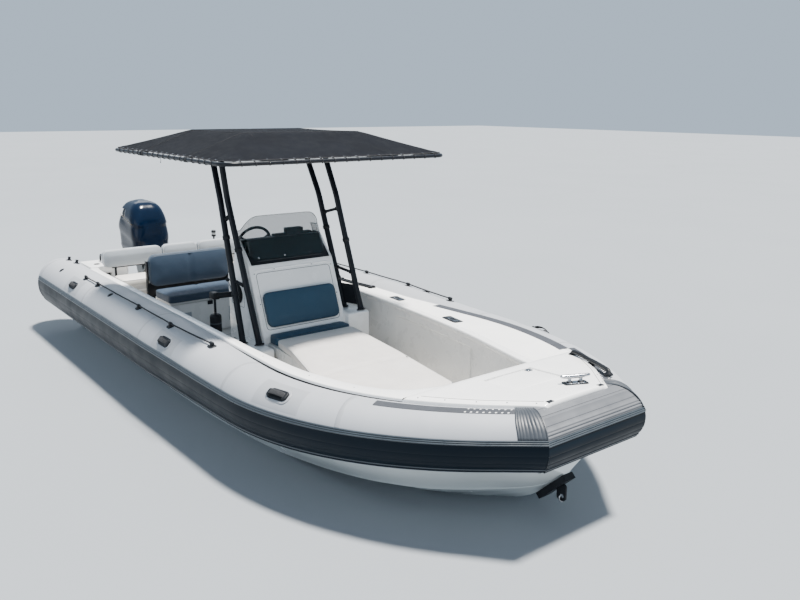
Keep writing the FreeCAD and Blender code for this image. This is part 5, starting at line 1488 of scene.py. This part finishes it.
for a in range(len(rings) - 1):
    for j in range(w):
        p = (rings[a][j] + rings[a + 1][(j + 1) % w]) / 2
        z = p.z - DZ
        m = 0
        if z < 0.838:
            m = 1
        # faces in the intake recess take painted shade
        elif -0.945 < p.x < -0.72 and 1.248 < z < 1.335 and abs(p.y) > 0.11:
            m = 2
        mats.append(m)
verts = [p for r in rings for p in r]
faces = [(a * w + j, a * w + (j + 1) % w, (a + 1) * w + (j + 1) % w, (a + 1) * w + j) for a in range(len(rings) - 1) for j in range(w)]
b.add(verts, faces, mats)
# crown of the lid
top = rings[-1]
ctr = sum(top, Vector()) / w
prev = top
for k in range(1, 6):
    t = k / 6
    ring = [ctr + (p - ctr) * (1 - t) + Vector((0, 0, 0.0)) for p in top]
    b.grid([prev, ring], close_v=True)
    prev = ring
b.fan(prev)
b.fan(rings[0], 1)
for s in (1, -1):
    # trim line along the crease
    pts = []
    for x in lin(-0.86, -0.42, 16):
        z = 1.215 + (x + 0.65) * -0.22 + 0.006
        xa, xf, ww, c = cowl_at(z)
        pts.append(Vector((x, s * (ww - 0.0045), z + DZ)))
    b.tube(pts, 0.0032, 6, mat=3)
b.out("engine_cowl_shell", ["engine", "engine_dark", "shadow_gap", "trim_line"], body="engine", nodes=["engine_cowl"], slot="engine_gloss", angle=38)

# =====================================================================  deck fittings
cz0 = 0.8686 + 0.017
CL = Matrix.Translation((6.440, 0.150, cz0)) @ Matrix.Rotation(math.radians(-4.3), 4, "Y") @ Matrix.Rotation(math.radians(62), 4, "Z")
b = Build()
for s in (1, -1):
    b.lathe([(0.0, 0.020), (0.004, 0.016), (0.010, 0.0125), (0.036, 0.0115), (0.042, 0.012)], CL @ Vector((s * 0.038, 0, 0.001)), CL.to_3x3() @ Vector((0, 0, 1)), 24, 0)
rows = []
for t in lin(-1, 1, 25):
    x = 0.100 * t
    r = 0.0150 * (1 - 0.30 * abs(t) ** 2.5) * (1 if abs(t) < 0.97 else 0.6)
    z = 0.046 + 0.004 * t * t
    rows.append([CL @ Vector((x, r * math.cos(q), z + r * 0.92 * math.sin(q) - 0.002)) for q in [2 * math.pi * j / 16 for j in range(16)]])
b.grid(rows, close_v=True)
b.fan(rows[0]); b.fan(rows[-1])
b.prism(even([(-0.062, -0.030), (0.062, -0.030), (0.062, 0.030), (-0.062, 0.030)], 0.2, 0.014), 0.0, 0.006, 0.0015, 0, 2, axis="z", m=CL)
b.prism(even([(-0.082, -0.042), (0.082, -0.042), (0.082, 0.042), (-0.082, 0.042)], 0.2, 0.020), -0.0015, 0.0022, 0.0008, 1, 2, axis="z", m=CL)
for s in (1, -1):
    b.lathe([(0.005, 0.0230), (0.012, 0.0190), (0.014, 0.0135)], CL @ Vector((s * 0.038, 0, 0.001)), CL.to_3x3() @ Vector((0, 0, 1)), 24, 1)
b.out("bow_cleat_polished", ["steel", "plastic"], nodes=["bow_cleat"], slot="stainless", angle=45)

b = Build()
# seams, screws and small fittings on the decks
def deck_line(pts, r=0.0016, mat=0):
    b.tube([Vector((x, y, deck_z(x, y) + 0.0004)) for x, y in pts], r, 6, mat=mat)


def screw(x, y, z, n=(0, 0, 1), r=0.0055, mat=1):
    b.lathe([(-0.001, r), (0.0008, r * 0.95), (0.0014, r * 0.5), (0.0010, 0)], (x, y, z), n, 12, mat)


for s in (1, -1):
    deck_line([(x, s * (lip_at(x) - 0.055)) for x in lin(5.95, 6.55, 16)])
    for x in (5.95, 6.10, 6.26, 6.40, 6.53):
        screw(x, s * (lip_at(x) - 0.030), deck_z(x, lip_at(x) - 0.030))
    # flush lifting rings and caps on the side decks
    for x in (1.1, 2.1, 3.1, 3.9, 4.5, 5.1, 5.5) if s < 0 else ():
        y0 = (ramp(WALL_S, x, 2) + centre(x)[0] - ramp(CAP, x, 2)) / 2
        screw(x, -y0, ramp(CAP, x, 1) + 0.003)
    for x, w in ((3.638, 0.100), (4.580, 0.112)) if s > 0 else ():
        y0 = ramp(WALL, x) + 0.100
        z = ramp(CAP, x, 1) + 0.0045
        m = Matrix.Translation((x, s * y0, z)) @ Matrix.Rotation(s * math.atan2(-(ramp(WALL, x + 0.2) - ramp(WALL, x - 0.2)), 0.4) * -1, 4, "Z")
        b.prism(rounded(-w, -0.046, w, 0.046, 0.020, 4, 0.2), -0.002, 0.0034, 0.001, 2, 2, axis="z", m=m)
        b.tube([m @ Vector((w * 0.55 * math.cos(a), 0.026 * math.sin(a), 0.0046)) for a in lin(0, 2 * math.pi, 25)[:-1]], 0.0034, 8, mat=1, closed=True)
        b.tube([m @ Vector((w * 0.62, -0.030, 0.0048)), m @ Vector((w * 0.62, 0.030, 0.0048))], 0.0042, 8, mat=1)
# folded rods laid on the port deck beside the seat footing
for k in range(2):
    y0 = 0.905 + k * 0.040
    b.tube([(2.560, y0, 0.7810), (2.860, y0 + 0.012, 0.7812), (3.140, y0 + 0.040, 0.7815)], 0.0105, 12, mat=2)
for x, y in ((2.600, 0.925), (3.110, 0.962)):
    b.box((x - 0.018, y - 0.036, 0.766), (x + 0.018, y + 0.036, 0.795), 0.005, 3)
# black pads at the fore corners of the bow deck
for s in (1, -1):
    b.box((6.555, s * 0.235 - 0.025, deck_z(6.57, 0.235) - 0.004), (6.585, s * 0.235 + 0.025, deck_z(6.57, 0.235) + 0.001), 0.002, 3)
b.out("deck_fittings", ["caulk", "steel", "plastic", "plastic"], slot="stainless", angle=40)

# bow grab bar on the port lip: padded bar on two feet
b = Build()
def on_lip(x, lift=0.012, inb=0.034):
    return Vector((x, centre(x)[0] - ramp(CAP, x, 2) + inb, ramp(CAP, x, 1) + lift))


b0, b1 = Vector((5.960, 0.700, 0)), Vector((6.428, 0.508, 0))


def on_bar(t, lift):
    p = b0 + (b1 - b0) * t
    p.y += 0.018 * math.sin(math.pi * t)
    return Vector((p.x, p.y, deck_z(p.x, p.y) + lift))


b.tube([on_bar(0.0, 0.002), on_bar(0.012, 0.018)] + [on_bar(t, 0.023) for t in lin(0.04, 0.96, 14)] + [on_bar(0.988, 0.018), on_bar(1.0, 0.002)], 0.0165, 18, 0)
for t in (0.0, 0.5, 1.0):
    b.lathe([(-0.006, 0.0), (-0.006, 0.030), (0.002, 0.029), (0.012, 0.018), (0.018, 0.014)], on_bar(t, 0.001), (0, 0, 1), 24, 0)
b.out("bow_grab_bar", ["plastic"], nodes=["bow_grab_rail"], slot="black_plastic", angle=45)

# tube handles: glued pads with bolsters and a webbing loop
HANDLES = [(0.990, 44), (3.470, 42), (5.120, 53)]
b = Build()
for s in (1, -1):
    h = Build()
    for x0, deg in HANDLES:
        c, t, out, up = station(x0)
        r = radius(x0)
        a0 = math.radians(deg)

        def P(u, v, hgt):
            """u along the tube, v round it in metres, hgt above its skin."""
            a = a0 + v / r
            return c + t * u + (out * math.cos(a) + up * math.sin(a)) * (r + hgt)
        # base patch
        for lx, ly, hh, mt in ((0.118, 0.058, 0.0026, 1), (0.098, 0.042, 0.0060, 0)):
            loops = []
            for d, z in ((0, 0.0002), (0.002, hh), (0.012, hh + 0.0006)):
                loops.append([P(p[0], p[1], z) for p in rounded(-lx + d, -ly + d, lx - d, ly - d, max(0.004, ly - d - 0.004), 5, 0.05)])
            h.grid(loops, mat=mt, close_v=True)
            h.fan(loops[-1], mt)
        for e in (1, -1):
            loops = []
            for d, z in ((0, 0.004), (0.002, 0.012), (0.007, 0.017), (0.013, 0.018)):
                loops.append([P(e * 0.078 + p[0], p[1], z) for p in rounded(-0.022 + d, -0.030 + d, 0.022 - d, 0.030 - d, max(0.002, 0.016 - d), 4, 0.2)])
            h.grid(loops, mat=0, close_v=True)
            h.fan(loops[-1], 0)
        rows = []
        for k in range(17):
            f = k / 16
            u = -0.078 + 0.156 * f
            z = 0.014 + 0.019 * math.sin(math.pi * f) ** 0.6
            rows.append([P(u, 0.017 * math.cos(q), z + 0.0045 * math.sin(q)) for q in [2 * math.pi * j / 12 for j in range(12)]])
        h.grid(rows, close_v=True, mat=2)
        h.fan(rows[0], 2); h.fan(rows[-1], 2)
    if s < 0:
        h = h.mirror()
    b.join(h)
b.out("tube_handles_moulded", ["plastic", "tube_seam", "rope"], nodes=["tube_handles"], slot="black_plastic", angle=50)

# =====================================================================  grab lines: rope through moulded anchors
LINE = [(1.070, 0.088), (1.460, 0.088), (2.600, 0.086), (3.330, 0.086), (4.030, 0.042)]
b = Build()


def line_point(x, outb, lift=0.034):
    cy, cz = centre(x)
    r = radius(x)
    return Vector((x, cy + outb, cz + math.sqrt(r * r - outb * outb) + lift))


def strand(pts, r=0.0072, lay=0.034):
    """Three-strand look: the rope's section turns along its length."""
    P = [Vector(p) for p in pts]
    run = 0.0
    rows, prev = [], None
    for k, p in enumerate(P):
        a, q = P[max(0, k - 1)], P[min(len(P) - 1, k + 1)]
        t = (q - a).normalized()
        if k:
            run += (p - P[k - 1]).length
        ref = Vector((0, 0, 1))
        u = (t.cross(ref)).normalized() if prev is None else (prev - t * prev.dot(t)).normalized()
        prev = u
        w = t.cross(u)
        tw = run / lay * 2 * math.pi
        row = []
        for j in range(15):
            th = 2 * math.pi * j / 15
            rr = r * (0.86 + 0.14 * abs(math.cos(1.5 * (th - tw))))
            row.append(p + u * rr * math.cos(th) + w * rr * math.sin(th))
        rows.append(row)
    return rows


for s in (1, -1):
    h = Build()
    pts = []
    for (xa, oa), (xb, ob) in zip(LINE, LINE[1:]):
        n = max(8, int((xb - xa) / 0.012))
        for k in range(n):
            f = k / n
            x = xa + (xb - xa) * f
            o = oa + (ob - oa) * f
            dip = 0.0065 * math.sin(math.pi * f)
            p = line_point(x, o, 0.024 - dip * 0.6)
            pts.append(p)
    pts.append(line_point(*LINE[-1], 0.024))
    rows = strand(pts)
    h.grid(rows, close_v=True, mat=0)
    h.fan(rows[0], 0); h.fan(rows[-1], 0)
    for k, (x, o) in enumerate(LINE):
        c, t, out, up = station(x)
        base = line_point(x, o, 0.0)
        r = radius(x)
        a0 = math.atan2(math.sqrt(r * r - o * o), o)
        nrm = (out * math.cos(a0) + up * math.sin(a0)).normalized()
        wid = nrm.cross(t).normalized()

        def Q(u, v, z):
            a = a0 + v / r
            return c + t * u + (out * math.cos(a) + up * math.sin(a)) * (r + z) + (line_point(x, o, 0) - (c + (out * math.cos(a0) + up * math.sin(a0)) * r))
        loops = []
        for d, z in ((0, 0.0002), (0.002, 0.004), (0.006, 0.0055)):
            loops.append([Q(p[0], p[1], z) for p in rounded(-0.040 + d, -0.032 + d, 0.040 - d, 0.032 - d, 0.022 - d, 5, 0.03)])
        h.grid(loops, mat=1, close_v=True)
        h.fan(loops[-1], 1)
        top = line_point(x, o, 0.024)
        h.lathe([(-0.022, 0.0105), (-0.020, 0.0135), (-0.012, 0.0148), (0.012, 0.0148), (0.020, 0.0135), (0.022, 0.0105)], top, t, 18, 1)
        rows = []
        for z, uu, vv in ((0.004, 0.022, 0.018), (0.011, 0.018, 0.013), (0.020, 0.017, 0.012)):
            rows.append([base + nrm * z + t * (uu * math.cos(q)) + wid * (vv * math.sin(q)) for q in [2 * math.pi * j / 16 for j in range(16)]])
        h.grid(rows, close_v=True, mat=1)
    if s < 0:
        h = h.mirror()
    b.join(h)
b.out("grab_lines_laid", ["rope", "plastic"], nodes=["grab_lines"], slot="rope", angle=60)

# tow bracket: stainless ring in the ear of the block
b = Build()
b.tube([Vector((6.514 + 0.004, 0.0, 0.174 - 0.012)) + Vector((0.024 * math.cos(a) * 0.3, 0.024 * math.cos(a), 0.026 * math.sin(a))) for a in lin(0, 2 * math.pi, 29)[:-1]], 0.0045, 10, mat=0, closed=True)
b.out("tow_ring", ["steel"], slot="stainless", angle=60)

# patches and caps on the tube skins: valves and reinforcing panels
b = Build()
for s in (1, -1):
    h = Build()
    for x0, deg in ((1.90, 66), (4.80, 118), (0.35, 60)):
        c, t, out, up = station(x0)
        a = math.radians(deg)
        nrm = out * math.cos(a) + up * math.sin(a)
        p = c + nrm * radius(x0)
        h.lathe([(-0.002, 0.030), (0.002, 0.029), (0.0035, 0.025), (0.0035, 0.0)], p, nrm, 28, 1)
        h.lathe([(0.003, 0.016), (0.0085, 0.0155), (0.010, 0.012), (0.010, 0.0)], p, nrm, 24, 1)
    for x0, x1, d0, d1 in ((0.78, 1.20, 26, 64), (3.28, 3.68, 25, 60), (4.92, 5.33, 27, 78)):
        hh = lambda u, v: 0.0009 * min(1.0, min(u, 1 - u) * 30, min(v, 1 - v) * 24)
        n1, n2 = 14, 12
        h.grid([[on_tube(x0 + (x1 - x0) * i / n1, d0 + (d1 - d0) * j / n2, 0.0001 + hh(i / n1, j / n2)) for j in range(n2 + 1)] for i in range(n1 + 1)], mat=0)
    if s < 0:
        h = h.mirror()
    b.join(h)
b.out("tube_patches_and_valves", ["tube_seam", "plastic"], slot="tube_fabric", angle=50)

# black fittings on the quarters of the tubes
b = Build()
for s in (1, -1):
    h = Build()
    for x0, deg in ((-0.02, 100), (0.20, 104)):
        c, t, out, up = station(max(x0, -0.14))
        c = Vector((x0, c.y, c.z))
        a = math.radians(deg)
        nrm = out * math.cos(a) + up * math.sin(a)
        p = c + nrm * TUBE_R
        wid = nrm.cross(t)
        h.lathe([(-0.002, 0.036), (0.004, 0.034), (0.008, 0.020), (0.030, 0.014), (0.034, 0.018), (0.042, 0.018), (0.045, 0.010), (0.045, 0.0)], p, nrm, 28, 0)
    if s < 0:
        h = h.mirror()
    b.join(h)
b.out("quarter_buttons", ["plastic"], slot="black_plastic", angle=45)

# =====================================================================  floor, lights and camera
floor = bpy.data.meshes.new("floor")
bm = bmesh.new()
bmesh.ops.create_grid(bm, x_segments=1, y_segments=1, size=70)
bm.to_mesh(floor)
bm.free()
fo = bpy.data.objects.new("floor", floor)
fo.location = (2.0, 0, 0.0)
bpy.context.scene.collection.objects.link(fo)
fm, fn, fl, fp = new_mat("pale floor")
tc = fn.new("ShaderNodeTexCoord")
nz = fn.new("ShaderNodeTexNoise")
nz.inputs["Scale"].default_value = 0.35
fl.new(tc.outputs["Object"], nz.inputs["Vector"])
cr = fn.new("ShaderNodeValToRGB")
cr.color_ramp.elements[0].color = (0.225, 0.245, 0.265, 1)
cr.color_ramp.elements[1].color = (0.250, 0.270, 0.290, 1)
fl.new(nz.outputs["Fac"], cr.inputs["Fac"])
fl.new(cr.outputs["Color"], fp.inputs["Base Color"])
fp.inputs["Roughness"].default_value = 0.75
floor.materials.append(fm)

world = bpy.context.scene.world or bpy.data.worlds.new("studio")
bpy.context.scene.world = world
world.use_nodes = True
bg = world.node_tree.nodes.get("Background") or world.node_tree.nodes.new("ShaderNodeBackground")
bg.inputs["Color"].default_value = (0.66, 0.82, 1.0, 1)
bg.inputs["Strength"].default_value = 0.80


def area_light(name, loc, target, size, power, colour=(1, 1, 1)):
    l = bpy.data.lights.new(name, "AREA")
    l.shape = "RECTANGLE"
    l.size, l.size_y = size
    l.energy = power
    l.color = colour
    o = bpy.data.objects.new(name, l)
    o.location = loc
    d = (Vector(target) - Vector(loc)).normalized()
    o.rotation_euler = d.to_track_quat("-Z", "Y").to_euler()
    bpy.context.scene.collection.objects.link(o)
    return o


sun = bpy.data.lights.new("key", "SUN")
sun.energy = 14.0
sun.angle = math.radians(7)
sun.color = (1.0, 0.965, 0.92)
key = bpy.data.objects.new("key", sun)
key.rotation_euler = Vector((-0.13, -0.20, -0.97)).to_track_quat("-Z", "Y").to_euler()
bpy.context.scene.collection.objects.link(key)
fill = area_light("fill", (5.5, -11.0, 4.0), (3.2, 0, 0.7), (9.0, 5.0), 190, (0.92, 0.96, 1.0))
rim = area_light("rim", (-8.0, 3.0, 7.0), (2.0, 0, 1.0), (6.0, 4.0), 200, (0.95, 0.97, 1.0))

f = 786.58
psi, th, roll = math.radians(38.091), math.atan(195.262 / 786.58), math.radians(0.429)
fw = Vector((-math.cos(psi), math.sin(psi), 0))
rt = Vector((fw.y, -fw.x, 0))
upw = Vector((0, 0, 1))
F = fw * math.cos(th) - upw * math.sin(th)
D = -fw * math.sin(th) - upw * math.cos(th)
right = rt * math.cos(roll) - D * math.sin(roll)
upv = -(rt * math.sin(roll) + D * math.cos(roll))
cam = bpy.data.cameras.new("camera")
cam.sensor_fit = "HORIZONTAL"
cam.sensor_width = 36.0
cam.lens = f / 800.0 * 36.0
cam.clip_end = 200
co = bpy.data.objects.new("camera", cam)
co.matrix_world = Matrix(((right.x, upv.x, -F.x, 9.48255), (right.y, upv.y, -F.y, -3.65925), (right.z, upv.z, -F.z, 2.5985), (0, 0, 0, 1)))
bpy.context.scene.collection.objects.link(co)
bpy.context.scene.camera = co
